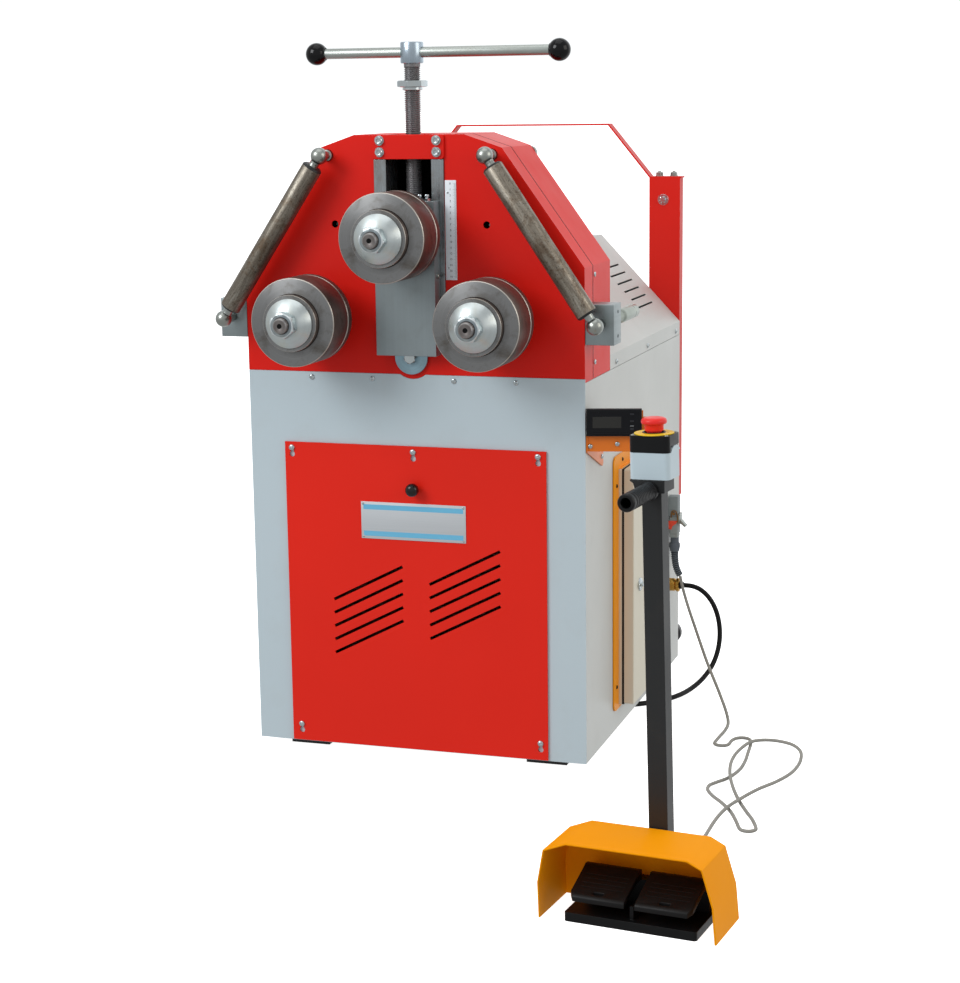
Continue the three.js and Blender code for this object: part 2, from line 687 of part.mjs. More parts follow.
// ---------------------------------------------------------------- rear hoop
{
  const y0 = CAB_D + 0.5,
    y1 = CAB_D + 30;
  const channel = (s) => {
    const x0 = s > 0 ? 249 : -313,
      x1 = s > 0 ? 313 : -249;
    return cut(block(x0, x1, y0, y1, 345, 1002.6), block(x0 + 4, x1 - 4, y0 + 4, y1 + 5, 330, 998.6));
  };
  const strap = slabXZ(
    [
      [316, 1002.4],
      [316, 1005.8],
      [251, 1005.8],
      [163.5, 1112.5],
      [-163.5, 1112.5],
      [-251, 1005.8],
      [-316, 1005.8],
      [-316, 1002.4],
      [-249.7, 1002.4],
      [-162, 1109.3],
      [162, 1109.3],
      [249.7, 1002.4],
    ],
    y0,
    y1,
  );
  add("rear_hoop", join(channel(-1), channel(1), strap), RED());
}

// ---------------------------------------------------------------- position display on its bracket
{
  const flange = slabYZ(
    [
      [3, 592],
      [3, 563],
      [14, 558],
      [108, 521.5],
      [113, 526],
      [113, 592],
    ].reverse(),
    HW + 0.4,
    HW + 3.4,
  );
  // the display stands a little turned, in the plane u along it and v behind it
  const turn = 0.2443;
  const at = (u, v) => [317.2 + u * Math.cos(turn) - v * Math.sin(turn), -4 + u * Math.sin(turn) + v * Math.cos(turn)];
  const slab = (u0, u1, v0, v1, z0, z1) => slabXY([at(u0, v0), at(u1, v0), at(u1, v1), at(u0, v1)], z0, z1);
  const plate = cut(join(slab(1, 98, 10, 13, 564, 636), slab(97.5, 106, 10, 13, 564, 625)), slab(13, 92.5, 5, 20, 596.5, 635.2));
  add("display_bracket", join(flange, plate), ORANGE());
  add("display_unit", join(slab(0, 95.5, 0, 9.7, 592.3, 640), slab(13.3, 92.2, 9.4, 44, 596.8, 634.9)), BLACK());
}

// ---------------------------------------------------------------- electrical enclosure let into the right side
{
  const x = HW + 0.4;
  const plate = slabYZ(rounded([[192, 39], [530, 39], [530, 521], [192, 521]], 14, 4), x, x + 3);
  const rim = slabYZ(rounded([[226, 47], [506, 47], [506, 497], [226, 497]], 5, 3), x + 2.5, 323);
  const body = block(190, x + 2.6, 237, 495, 59, 483);
  const room = block(192, 330, 240, 492, 62, 480);
  add("enclosure_body", cut(join(plate, rim, body), room), ORANGE());
  const door = join(
    slabYZ(rounded([[226, 47.6], [506, 47.6], [506, 494.5], [226, 494.5]], 4, 3), 326.4, 345.7),
    slabYZ([[230, 52], [502, 52], [502, 490], [230, 490]], 323.3, 327),
  );
  add("enclosure_door", cut(door, block(320, 344, 234, 498, 56, 486)), paint(0xcfc6b4, 0.5, 0.1));
  const lock = join(bar([346, 274, 268.6], [349.5, 274, 268.6], 12.5, 12, 18), block(349, 354.5, 271, 277, 259, 278));
  add("door_lock", lock, ZINC());
}

// ---------------------------------------------------------------- control connector, cable gland and main switch
const CONN_Y = 668;
{
  const wall = HW + 0.4;
  const socket = block(wall, 334.4, CONN_Y - 12, CONN_Y + 12, 322, 363);
  add("connector_socket", socket, paint(0x6f7c84, 0.5, 0.3));
  const plug = join(
    slabXZ(rounded([[316.6, 277], [334.6, 277], [334.6, 321.6], [316.6, 321.6]], 3, 3), CONN_Y - 12, CONN_Y + 12),
    bar([325.5, CONN_Y, 278], [325.5, CONN_Y, 264], 8.6, 8.6, 16),
    bar([325.5, CONN_Y, 265], [325.5, CONN_Y, 254], 10.7, 10.7, 16),
    bar([325.5, CONN_Y, 254.2], [325.5, CONN_Y, 247], 10.6, 8.6, 16),
    bar([325.5, CONN_Y, 248], [326.4, CONN_Y - 0.8, 230], 7.4, 7.1, 12),
    bar([326.3, CONN_Y - 0.7, 231.2], [330.4, CONN_Y - 3.8, 213], 7.1, 6.7, 12),
    bar([330.1, CONN_Y - 3.5, 214], [338.7, 660.3, 198.6], 6.7, 6, 12),
  );
  add("connector_plug", plug, paint(0x98a4aa, 0.5, 0.2));
  const latch = join(
    block(321, 339.6, CONN_Y - 14.6, CONN_Y - 12.3, 322, 334),
    block(321, 339.6, CONN_Y + 12.3, CONN_Y + 14.6, 322, 334),
    block(335.4, 339.6, CONN_Y - 14.6, CONN_Y + 14.6, 306, 326.4),
    slabXZ([[336, 314], [336, 308.5], [347, 299.4], [350.4, 302.4], [339.4, 314]], CONN_Y - 8, CONN_Y + 8),
  );
  add("connector_latch", latch, ZINC());
  const gland = join(
    bar([wall, CONN_Y, 176], [wall + 13, CONN_Y, 176], 13.4, 13.4, 6),
    bar([wall + 12, CONN_Y, 176], [wall + 16, CONN_Y, 176], 11.6, 11.6, 18),
    bar([wall + 15, CONN_Y, 176], [wall + 22.6, CONN_Y, 176], 14.6, 14.6, 6),
    bar([wall + 22, CONN_Y, 176], [346.3, CONN_Y, 176], 8.4, 6.2, 14),
    bar([wall - 14, CONN_Y, 176], [wall + 2, CONN_Y, 176], 9.8, 9.8, 18),
  );
  add("cable_gland", gland, paint(0xa8762c, 0.35, 0.9));
  const knob = join(
    bar([SWITCH_X, CAB_D - 4, 46], [SWITCH_X, CAB_D + 9, 46], 8, 8, 14),
    turned([[0, CAB_D + 8], [23.2, CAB_D + 8], [23.2, CAB_D + 24], [20.5, CAB_D + 28], [0, CAB_D + 28]], [SWITCH_X, 0, 46], "y", 32),
    block(SWITCH_X - 4, SWITCH_X + 4, CAB_D + 27, CAB_D + 33, 46 - 20, 46 + 20),
  );
  add("main_switch", knob, BLACK());
}

// ---------------------------------------------------------------- foot control with its stand
const stand = new THREE.Group();
stand.position.set(...STAND_ORIGIN);
stand.rotation.z = STAND_TURN;
machine.add(stand);
{
  const base = join(
    slabXY(rounded(rect(-102, 102, 0, 98), [5, 5, 2, 2], 3), 0, 14),
    block(-96, 96, 78, 98, 13, 50),
    block(-3, 3, 10, 80, 13, 34),
  );
  add("pedal_base", base, BLACK(), stand);
  for (const s of [-1, 1]) {
    const x0 = s < 0 ? -94 : 8,
      x1 = s < 0 ? -8 : 94;
    const outline = [
      [-1, 33],
      [-1, 41],
      [3, 43.4],
      [62, 64],
      [78, 66],
      [78, 52],
      [64, 50.6],
      [60, 53],
    ];
    add("pedal_" + (s < 0 ? "left" : "right"), slabYZ(outline.slice().reverse(), x0, x1), BLACK(), stand);
  }
  const prof = [
    [-141, 0.2],
    [-143, 55],
    [-134, 106],
    [-98, 120.6],
    [88, 121],
    [111, 110],
    [128, 55],
    [133, 0.2],
  ];
  const thick = 2.6;
  const inner = [
    [-138.4, -5],
    [-140.3, 55],
    [-131.8, 104.2],
    [-97.5, 118],
    [87.4, 118.4],
    [108.9, 108.1],
    [125.4, 55],
    [130.2, -5],
  ];
  const closed = (p) => p.slice().reverse();
  const guard = cut(slabXZ(closed(prof), -3, 106), slabXZ(closed(inner), -10, 106 - thick), block(53, 67, 90, 120, -5, 14));
  add("pedal_guard", guard, ORANGE(), stand);

  const post = new THREE.Group();
  post.position.set(8, 0, 0);
  post.rotation.y = STAND_LEAN;
  stand.add(post);
  // foot plate, square post and the bracket under the control box
  const foot = block(-36, 34, 108, 165, 1.2, 7);
  const column = block(-15, 15, 110, 140, 3, 628);
  const cradle = join(
    slabXZ([[-30, 646.1], [-30, 643.5], [-25, 640.5], [-21.5, 627], [23, 627], [23, 646.1]], 101.4, 145),
  );
  add("stand_post", join(foot, column, cradle), BLACK(), post);
  const grip = turned(
    [
      [7.5, 40],
      [7.5, 3],
      [12.2, 3],
      [13.2, 5],
      [13.2, 12],
      [12.2, 14],
      [12.2, 16],
      [13, 18],
      [13, 96],
      [14.2, 97],
      [14.2, 100.4],
      [10, 100.5],
      [10, 101.1],
      [0, 101.1],
      [0, 40],
    ],
    [0, 0, 630],
    "y",
    16,
  );
  add("stand_grip", grip, BLACK(), post);
  const boss = [[113, 685], [113, 686], [118, 690], [126, 693.4], [138, 693.4], [146, 690], [151, 686], [151, 685]];
  add("control_box_lower", join(slabXY(rounded(rect(-30.5, 30.5, 101, 153), 8, 4), 646.5, 685.2), slabYZ(boss.reverse(), 27.6, 30.4)), paint(0xb4bec3, 0.5, 0), post);
  add("control_box_upper", cut(slabXY(rounded(rect(-30.5, 30.5, 101, 153), 8, 4), 685.5, 710), block(27.2, 40, 112, 152, 680, 694), bar([0, 127, 670], [0, 127, 720], 11.4, 11.4, 18)), BLACK(), post);
  add(
    "stop_button",
    turned(
      [
        [0, 696],
        [11, 696],
        [11, 714.2],
        [14.4, 714.4],
        [14.7, 724.6],
        [19, 725.6],
        [20.1, 728],
        [19.8, 731.5],
        [17, 734],
        [10, 735.2],
        [0, 735.6],
      ],
      [0, 127, 0],
      "z",
      24,
    ),
    RED(),
    post,
  );
}

// ---------------------------------------------------------------- cords
// A tube whose cross-sections stand at the listed points.
class ListedPath extends THREE.Curve {
  constructor(points) {
    super();
    this.points = points.map((p) => new THREE.Vector3(...p));
  }
  getPoint(t, target = new THREE.Vector3()) {
    const n = this.points.length - 1,
      u = Math.min(Math.max(t, 0), 1) * n,
      i = Math.min(Math.floor(u + 1e-9), n - 1);
    return target.copy(this.points[i]).lerp(this.points[i + 1], u - i);
  }
  getPointAt(u, target) {
    return this.getPoint(u, target);
  }
  getTangentAt(u, target = new THREE.Vector3()) {
    const n = this.points.length - 1,
      i = Math.round(u * n);
    const a = this.points[Math.max(i - 1, 0)],
      b = this.points[i],
      c = this.points[Math.min(i + 1, n)];
    const d = new THREE.Vector3();
    if (i > 0) d.add(b.clone().sub(a).normalize());
    if (i < n) d.add(c.clone().sub(b).normalize());
    return target.copy(d.normalize());
  }
}

function cordTube(points, diameter, sides) {
  const r = diameter / 2;
  const section = new THREE.Shape(circle(0, 0, r, sides, Math.PI / sides).map(([x, y]) => new THREE.Vector2(x, y)));
  return solid(new THREE.ExtrudeGeometry(section, { steps: points.length - 1, extrudePath: new ListedPath(points), bevelEnabled: false }));
}

// Control cord, from the connector to the back of the pedal base.
const CONTROL_D = 6.2;
const CONTROL_ROUTE = [
  [339, 660, 197.4],
  [344.6, 656.5, 175.9],
  [358.3, 641, 143.9],
  [381.4, 608, 105.2],
  [419.4, 548, 49.4],
  [459.7, 472, 10.5],
  [485.5, 412, -9.6],
  [501, 352, -14.3],
  [503, 310, -14.8],
  [500.5, 265, -14.8],
  [499.5, 230, -14.8],
  [501.3, 223.2, -14.8],
  [506.2, 218.3, -14.8],
  [513, 216.5, -14.8],
  [519.8, 218.3, -14.8],
  [524.7, 223.2, -14.8],
  [526.5, 230, -14.8],
  [527, 248, -14.8],
  [529.5, 261, -14.8],
  [536, 271, -14.8],
  [546, 274.5, -14.8],
  [556, 270, -14.8],
  [562, 258, -14.8],
  [565.5, 238, -14.8],
  [570, 187, -14.8],
  [574, 135, -14.8],
  [573, 85, -14.8],
  [562, 36, -14.8],
  [547, 8, -14.8],
  [539, -10, -14.8],
  [540, -32, -14.8],
  [553, -60, -14.8],
  [576, -93, -14.8],
  [599, -132, -14.8],
  [617, -176, -14.8],
  [630.4, -212.9, -14.8],
  [634.5, -218.5, -14.8],
  [640.9, -221.3, -14.8],
  [647.9, -220.6, -14.8],
  [653.5, -216.5, -14.8],
  [656.3, -210.1, -14.8],
  [655.6, -203.1, -14.8],
  [644, -168, -14.8],
  [624, -124, -14.8],
  [601, -70, -14.8],
  [580, -14, -10.6],
  [563, 50, -7.4],
  [554, 120, -7.4],
  [557, 186, -7.4],
  [571, 236, -7.4],
  [602, 264, -11.8],
  [634, 262, -14.8],
  [658, 228, -14.8],
  [669, 170, -14.8],
  [666, 102, -14.8],
  [650, 36, -12.3],
  [627, -30, -7.8],
  [609, -84, -7.4],
  [595, -134, -7.4],
  [587, -184, -10],
  [583, -240, -14.8],
  [584, -310, -14.8],
  [595, -395, -14.8],
  [612, -468, -14.8],
  [626, -515, -14.3],
  [629.9, -549, -12.6],
  [626.6, -579.6, -12],
];
// Mains cord, from the gland down to the floor, under the cabinet and out behind it.
const MAINS_D = 10;
const MAINS_ROUTE = [
  [346.9, 668, 176],
  [360.6, 668, 175.4],
  [375.9, 668, 170.9],
  [390.1, 668, 161.2],
  [402.3, 668, 147],
  [412.5, 667, 127.7],
  [419.8, 664, 103.5],
  [423.2, 657, 76.6],
  [421.7, 645, 48.9],
  [415.4, 624, 24],
  [402.6, 594, 3.1],
  [385.3, 550, -9.5],
  [364, 494, -11.9],
  [334, 456, -12.9],
  [298, 426, -12.9],
  [254, 412, -12.9],
  [208, 416, -12.9],
  [166, 440, -12.9],
  [134, 486, -12.9],
  [118, 550, -12.9],
  [112, 630, -12.9],
  [112, 710, -12.9],
  [112, 780, -12.9],
  [112, 843.4, -12.9],
];
{
  const coarse = new Set([1, 3, 5, 8, 11, 15, 17, 19, 21, 25, 29, 31, 33, 36, 39, 43]);
  add("control_cable", cordTube(CONTROL_ROUTE.filter((_, i) => !coarse.has(i)), CONTROL_D, 8), paint(0xa3a49f, 0.6, 0));
  add("power_cable", cordTube(MAINS_ROUTE, MAINS_D, 10), BLACK());

  // The rest of the mains cord lies in a coil of six turns behind the machine, with a round plug on its end.
  const COIL = [52, 880];
  const COIL_R = 55;
  const ring = turned(
    [
      [COIL_R - 10.6, -17.9],
      [COIL_R + 10.6, -17.9],
      [COIL_R + 10.6, 13.6],
      [COIL_R - 10.6, 13.6],
    ],
    [COIL[0], COIL[1], 0],
    "z",
    28,
  );
  add("power_coil", ring, BLACK());
  const plug = turned(
    [
      [0, 51],
      [6.6, 51],
      [8.5, 62],
      [15, 64],
      [15, 80],
      [25.4, 88],
      [25.4, 150],
      [22.5, 153],
      [22.5, 160],
      [0, 160],
    ].map(([r, t]) => [r, -t]),
    [COIL[0], COIL[1] + 50, 8.1],
    "x",
    18,
  );
  const pins = [0, 1, 2, 3, 4].map((k) => {
    const a = (k * 2 * Math.PI) / 5 + 0.3;
    const c = [COIL[1] + 50 + 12 * Math.cos(a), 8.1 + 12 * Math.sin(a)];
    return bar([COIL[0] - 159, c[0], c[1]], [COIL[0] - 182, c[0], c[1]], 2.5, 2.5, 6);
  });
  add("power_plug", join(plug, ...pins), paint(0x2a2c30, 0.5, 0));
}

export default machine;
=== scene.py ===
import math
import random

import bpy
import bmesh
from mathutils import Matrix, Vector


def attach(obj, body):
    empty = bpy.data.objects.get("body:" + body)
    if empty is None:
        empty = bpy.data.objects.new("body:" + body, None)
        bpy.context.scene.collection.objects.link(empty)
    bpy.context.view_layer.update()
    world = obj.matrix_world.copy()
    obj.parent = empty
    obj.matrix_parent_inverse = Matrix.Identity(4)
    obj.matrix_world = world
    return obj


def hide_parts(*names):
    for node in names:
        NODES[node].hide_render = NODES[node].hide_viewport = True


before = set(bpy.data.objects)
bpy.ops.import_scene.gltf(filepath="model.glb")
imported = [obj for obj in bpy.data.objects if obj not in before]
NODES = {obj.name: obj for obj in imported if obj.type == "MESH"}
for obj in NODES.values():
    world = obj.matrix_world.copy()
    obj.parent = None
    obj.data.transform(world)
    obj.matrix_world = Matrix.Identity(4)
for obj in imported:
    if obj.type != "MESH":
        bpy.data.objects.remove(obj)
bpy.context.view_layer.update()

# ------------------------------------------------------------------ frames
# Machine millimetres: x = 0 in the middle of the cabinet, y = 0 on its front face, z = 0 at its lower edge.
MM = Matrix.Scale(0.001, 4) @ Matrix.Translation((-167.27, -51.03, 18.0))
STAND = MM @ Matrix.Translation((555.8, -670.9, -18.0)) @ Matrix.Rotation(math.radians(-6.5), 4, "Z")
POST = STAND @ Matrix.Translation((8.0, 0.0, 0.0)) @ Matrix.Rotation(math.radians(-1.35), 4, "Y")


def row(x, y, z, m=MM):
    return m @ Vector((x, y, z))


# ------------------------------------------------------------------ camera
def make_camera():
    yaw, pitch, roll = 0.3116586, 0.1879567, -0.0129469
    fwd = Vector((-math.sin(yaw) * math.cos(pitch), math.cos(yaw) * math.cos(pitch), -math.sin(pitch)))
    right = Vector((math.cos(yaw), math.sin(yaw), 0.0))
    up = right.cross(fwd)
    r2 = math.cos(roll) * right + math.sin(roll) * up
    u2 = -math.sin(roll) * right + math.cos(roll) * up
    cam = bpy.data.cameras.new("camera")
    cam.sensor_fit = "HORIZONTAL"
    cam.sensor_width = 36.0
    cam.lens = 2085.6252 / 960.0 * 36.0
    cam.clip_start = 0.05
    cam.clip_end = 600.0
    obj = bpy.data.objects.new("camera", cam)
    bpy.context.scene.collection.objects.link(obj)
    place = row(1230.8226, -3442.5707, 1173.8145)
    m = Matrix((r2, u2, -fwd)).transposed().to_4x4()
    m.translation = place
    obj.matrix_world = m
    bpy.context.scene.camera = obj


make_camera()


# ------------------------------------------------------------------ cords
def catmull(points, step):
    """Centripetal Catmull-Rom through the points, sampled about every step."""
    pts = [Vector(p) for p in points]
    ext = [pts[0] * 2 - pts[1]] + pts + [pts[-1] * 2 - pts[-2]]
    out = [pts[0].copy()]
    for i in range(1, len(ext) - 2):
        p0, p1, p2, p3 = ext[i - 1 : i + 3]
        t0 = 0.0
        t1 = t0 + max((p1 - p0).length, 1e-6) ** 0.5
        t2 = t1 + max((p2 - p1).length, 1e-6) ** 0.5
        t3 = t2 + max((p3 - p2).length, 1e-6) ** 0.5
        n = max(2, int(round((p2 - p1).length / step)))
        for k in range(1, n + 1):
            t = t1 + (t2 - t1) * k / n
            a1 = p0 * ((t1 - t) / (t1 - t0)) + p1 * ((t - t0) / (t1 - t0))
            a2 = p1 * ((t2 - t) / (t2 - t1)) + p2 * ((t - t1) / (t2 - t1))
            a3 = p2 * ((t3 - t) / (t3 - t2)) + p3 * ((t - t2) / (t3 - t2))
            b1 = a1 * ((t2 - t) / (t2 - t0)) + a2 * ((t - t0) / (t2 - t0))
            b2 = a2 * ((t3 - t) / (t3 - t1)) + a3 * ((t - t1) / (t3 - t1))
            out.append(b1 * ((t2 - t) / (t2 - t1)) + b2 * ((t - t1) / (t2 - t1)))
    return out


CONTROL_ROUTE = [
    (339, 660, 197.4), (344.6, 656.5, 175.9), (358.3, 641, 143.9), (381.4, 608, 105.2), (419.4, 548, 49.4),
    (459.7, 472, 10.5), (485.5, 412, -9.6), (501, 352, -14.3), (503, 310, -14.8), (500.5, 265, -14.8),
    (499.5, 230, -14.8), (501.3, 223.2, -14.8), (506.2, 218.3, -14.8), (513, 216.5, -14.8), (519.8, 218.3, -14.8),
    (524.7, 223.2, -14.8), (526.5, 230, -14.8), (527, 248, -14.8), (529.5, 261, -14.8), (536, 271, -14.8),
    (546, 274.5, -14.8), (556, 270, -14.8), (562, 258, -14.8), (565.5, 238, -14.8), (570, 187, -14.8),
    (574, 135, -14.8), (573, 85, -14.8), (562, 36, -14.8), (547, 8, -14.8), (539, -10, -14.8),
    (540, -32, -14.8), (553, -60, -14.8), (576, -93, -14.8), (599, -132, -14.8), (617, -176, -14.8),
    (630.4, -212.9, -14.8), (634.5, -218.5, -14.8), (640.9, -221.3, -14.8), (647.9, -220.6, -14.8), (653.5, -216.5, -14.8),
    (656.3, -210.1, -14.8), (655.6, -203.1, -14.8), (644, -168, -14.8), (624, -124, -14.8), (601, -70, -14.8),
    (580, -14, -10.6), (563, 50, -7.4), (554, 120, -7.4), (557, 186, -7.4), (571, 236, -7.4),
    (602, 264, -11.8), (634, 262, -14.8), (658, 228, -14.8), (669, 170, -14.8), (666, 102, -14.8),
    (650, 36, -12.3), (627, -30, -7.8), (609, -84, -7.4), (595, -134, -7.4), (587, -184, -10),
    (583, -240, -14.8), (584, -310, -14.8), (595, -395, -14.8), (612, -468, -14.8), (626, -515, -14.3),
    (629.9, -549, -12.6), (626.6, -579.6, -12),
]
MAINS_ROUTE = [
    (346.9, 668, 176), (360.6, 668, 175.4), (375.9, 668, 170.9), (390.1, 668, 161.2), (402.3, 668, 147),
    (412.5, 667, 127.7), (419.8, 664, 103.5), (423.2, 657, 76.6), (421.7, 645, 48.9), (415.4, 624, 24),
    (402.6, 594, 3.1), (385.3, 550, -9.5), (364, 494, -11.9), (334, 456, -12.9), (298, 426, -12.9),
    (254, 412, -12.9), (208, 416, -12.9), (166, 440, -12.9), (134, 486, -12.9), (118, 550, -12.9),
    (112, 630, -12.9), (112, 710, -12.9), (112, 780, -12.9), (112, 843.4, -12.9),
]


def coil_points():
    """Turns of the mains cord beside and on each other, from the route's end to the plug."""
    cx, cy = 52.0, 880.0
    turns = [(60, -12.9), (50, -12.9), (50, -2.4), (60, -2.4), (60, 8.1), (50, 8.1)]
    out = []
    n = 24
    for k, (r, z) in enumerate(turns[:-1]):
        r1, z1 = turns[k + 1]
        for i in range(n):
            u = i / n
            w = 0.0 if u < 0.5 else 0.5 - 0.5 * math.cos((u - 0.5) * 2 * math.pi)
            a = 2 * math.pi * u
            rr, zz = r + (r1 - r) * w, z + (z1 - z) * w
            out.append((cx + rr * math.cos(a), cy + rr * math.sin(a), zz))
    r, z = turns[-1]
    for i in range(7):
        a = math.pi / 2 * i / 6
        out.append((cx + r * math.cos(a), cy + r * math.sin(a), z))
    out += [(38, 930.0, 8.1), (20, 930.0, 8.1), (1.5, 930.0, 8.1)]
    return out


def make_cord(name, points_mm, diameter, step=4.0):
    pts = [row(*p) for p in catmull(points_mm, step)]
    cu = bpy.data.curves.new(name, "CURVE")
    cu.dimensions = "3D"
    cu.bevel_depth = diameter / 2
    cu.bevel_resolution = 5
    cu.use_fill_caps = True
    sp = cu.splines.new("POLY")
    sp.points.add(len(pts) - 1)
    for q, p in zip(sp.points, pts):
        q.co = (p.x, p.y, p.z, 1.0)
    sp.use_smooth = True
    obj = bpy.data.objects.new(name, cu)
    bpy.context.scene.collection.objects.link(obj)
    length = sum((b - a).length for a, b in zip(pts, pts[1:]))
    return obj, length, pts


# ------------------------------------------------------------------ materials
def srgb(r, g, b):
    def f(c):
        c = c / 255.0
        return c / 12.92 if c <= 0.04045 else ((c + 0.055) / 1.055) ** 2.4

    return (f(r), f(g), f(b), 1.0)


def mix(a, b, t):
    return tuple(a[i] * (1 - t) + b[i] * t for i in range(3)) + (1.0,)


def scale(c, k):
    return tuple(min(1.0, v * k) for v in c[:3]) + (1.0,)


class Mat:
    """A node material with the usual shader and small helpers."""

    def __init__(self, name, metallic=0.0, roughness=0.5, coat=0.0, coat_rough=0.1, spec=0.5, aniso=0.0, sheen=0.0):
        self.m = bpy.data.materials.new(name)
        self.m.use_nodes = True
        self.t = self.m.node_tree
        self.n = self.t.nodes
        self.l = self.t.links
        self.n.clear()
        self.out = self.n.new("ShaderNodeOutputMaterial")
        self.b = self.n.new("ShaderNodeBsdfPrincipled")
        self.l.new(self.b.outputs[0], self.out.inputs[0])
        self.b.inputs["Metallic"].default_value = metallic
        self.b.inputs["Roughness"].default_value = roughness
        self.b.inputs["Coat Weight"].default_value = coat
        self.b.inputs["Coat Roughness"].default_value = coat_rough
        self.b.inputs["Specular IOR Level"].default_value = spec
        self.b.inputs["Anisotropic"].default_value = aniso
        self.b.inputs["Sheen Weight"].default_value = sheen
        self.co = self.n.new("ShaderNodeTexCoord")

    def coords(self, sx=1.0, sy=1.0, sz=1.0):
        mp = self.n.new("ShaderNodeMapping")
        mp.inputs["Scale"].default_value = (sx, sy, sz)
        self.l.new(self.co.outputs["Object"], mp.inputs[0])
        return mp.outputs[0]

    def noise(self, sc, detail=2.0, rough=0.5, vec=None, dist=0.0):
        nz = self.n.new("ShaderNodeTexNoise")
        nz.inputs["Scale"].default_value = sc
        nz.inputs["Detail"].default_value = detail
        nz.inputs["Roughness"].default_value = rough
        nz.inputs["Distortion"].default_value = dist
        self.l.new(vec if vec is not None else self.co.outputs["Object"], nz.inputs["Vector"])
        return nz.outputs["Fac"]

    def ramp(self, fac, stops):
        rp = self.n.new("ShaderNodeValToRGB")
        el = rp.color_ramp.elements
        while len(el) > len(stops):
            el.remove(el[-1])
        while len(el) < len(stops):
            el.new(1.0)
        for e, (p, c) in zip(el, stops):
            e.position = p
            e.color = c if hasattr(c, "__len__") else (c, c, c, 1.0)
        self.l.new(fac, rp.inputs[0])
        return rp.outputs[0]

    def remap(self, fac, a, b, lo=0.3, hi=0.7):
        mr = self.n.new("ShaderNodeMapRange")
        mr.inputs["From Min"].default_value = lo
        mr.inputs["From Max"].default_value = hi
        mr.inputs["To Min"].default_value = a
        mr.inputs["To Max"].default_value = b
        self.l.new(fac, mr.inputs[0])
        return mr.outputs[0]

    def blend(self, fac, a, b):
        mx = self.n.new("ShaderNodeMix")
        mx.data_type = "RGBA"
        if hasattr(fac, "is_output"):
            self.l.new(fac, mx.inputs[0])
        else:
            mx.inputs[0].default_value = fac
        for sock, v in ((mx.inputs[6], a), (mx.inputs[7], b)):
            if hasattr(v, "is_output"):
                self.l.new(v, sock)
            else:
                sock.default_value = v
        return mx.outputs[2]

    def math(self, op, a, b=None):
        mt = self.n.new("ShaderNodeMath")
        mt.operation = op
        for sock, v in ((mt.inputs[0], a), (mt.inputs[1], b)):
            if v is None:
                continue
            if hasattr(v, "is_output"):
                self.l.new(v, sock)
            else:
                sock.default_value = v
        return mt.outputs[0]

    def color(self, sock):
        self.l.new(sock, self.b.inputs["Base Color"])
        return self

    def rough(self, sock):
        self.l.new(sock, self.b.inputs["Roughness"])
        return self

    def bump(self, sock, strength=0.2, distance=0.0005, second=None):
        bp = self.n.new("ShaderNodeBump")
        bp.inputs["Strength"].default_value = strength
        bp.inputs["Distance"].default_value = distance
        self.l.new(sock, bp.inputs["Height"])
        if second is not None:
            b2 = self.n.new("ShaderNodeBump")
            b2.inputs["Strength"].default_value = second[1]
            b2.inputs["Distance"].default_value = second[2]
            self.l.new(second[0], b2.inputs["Height"])
            self.l.new(b2.outputs[0], bp.inputs["Normal"])
        self.l.new(bp.outputs[0], self.b.inputs["Normal"])
        return self


def paint(name, rgb, rough=0.36, coat=0.1, vary=0.04, peel=0.05, grime=None, spec=0.3):
    c = srgb(*rgb)
    m = Mat(name, roughness=rough, coat=coat, coat_rough=0.2, spec=spec)
    large = m.noise(2.6, 3.0)
    col = m.ramp(large, [(0.3, scale(c, 1 - vary)), (0.7, scale(c, 1 + vary))])
    if grime:
        dirt = m.noise(16.0, 6.0, 0.62)
        col = m.blend(m.remap(dirt, 0.0, grime[1], 0.52, 0.78), col, srgb(*grime[0]))
    m.color(col)
    m.rough(m.remap(m.noise(9.0, 4.0), rough - 0.05, rough + 0.07))
    m.bump(m.noise(520.0, 1.5), peel, 0.0006, (m.noise(36.0, 2.0), 0.04, 0.002))
    return m.m


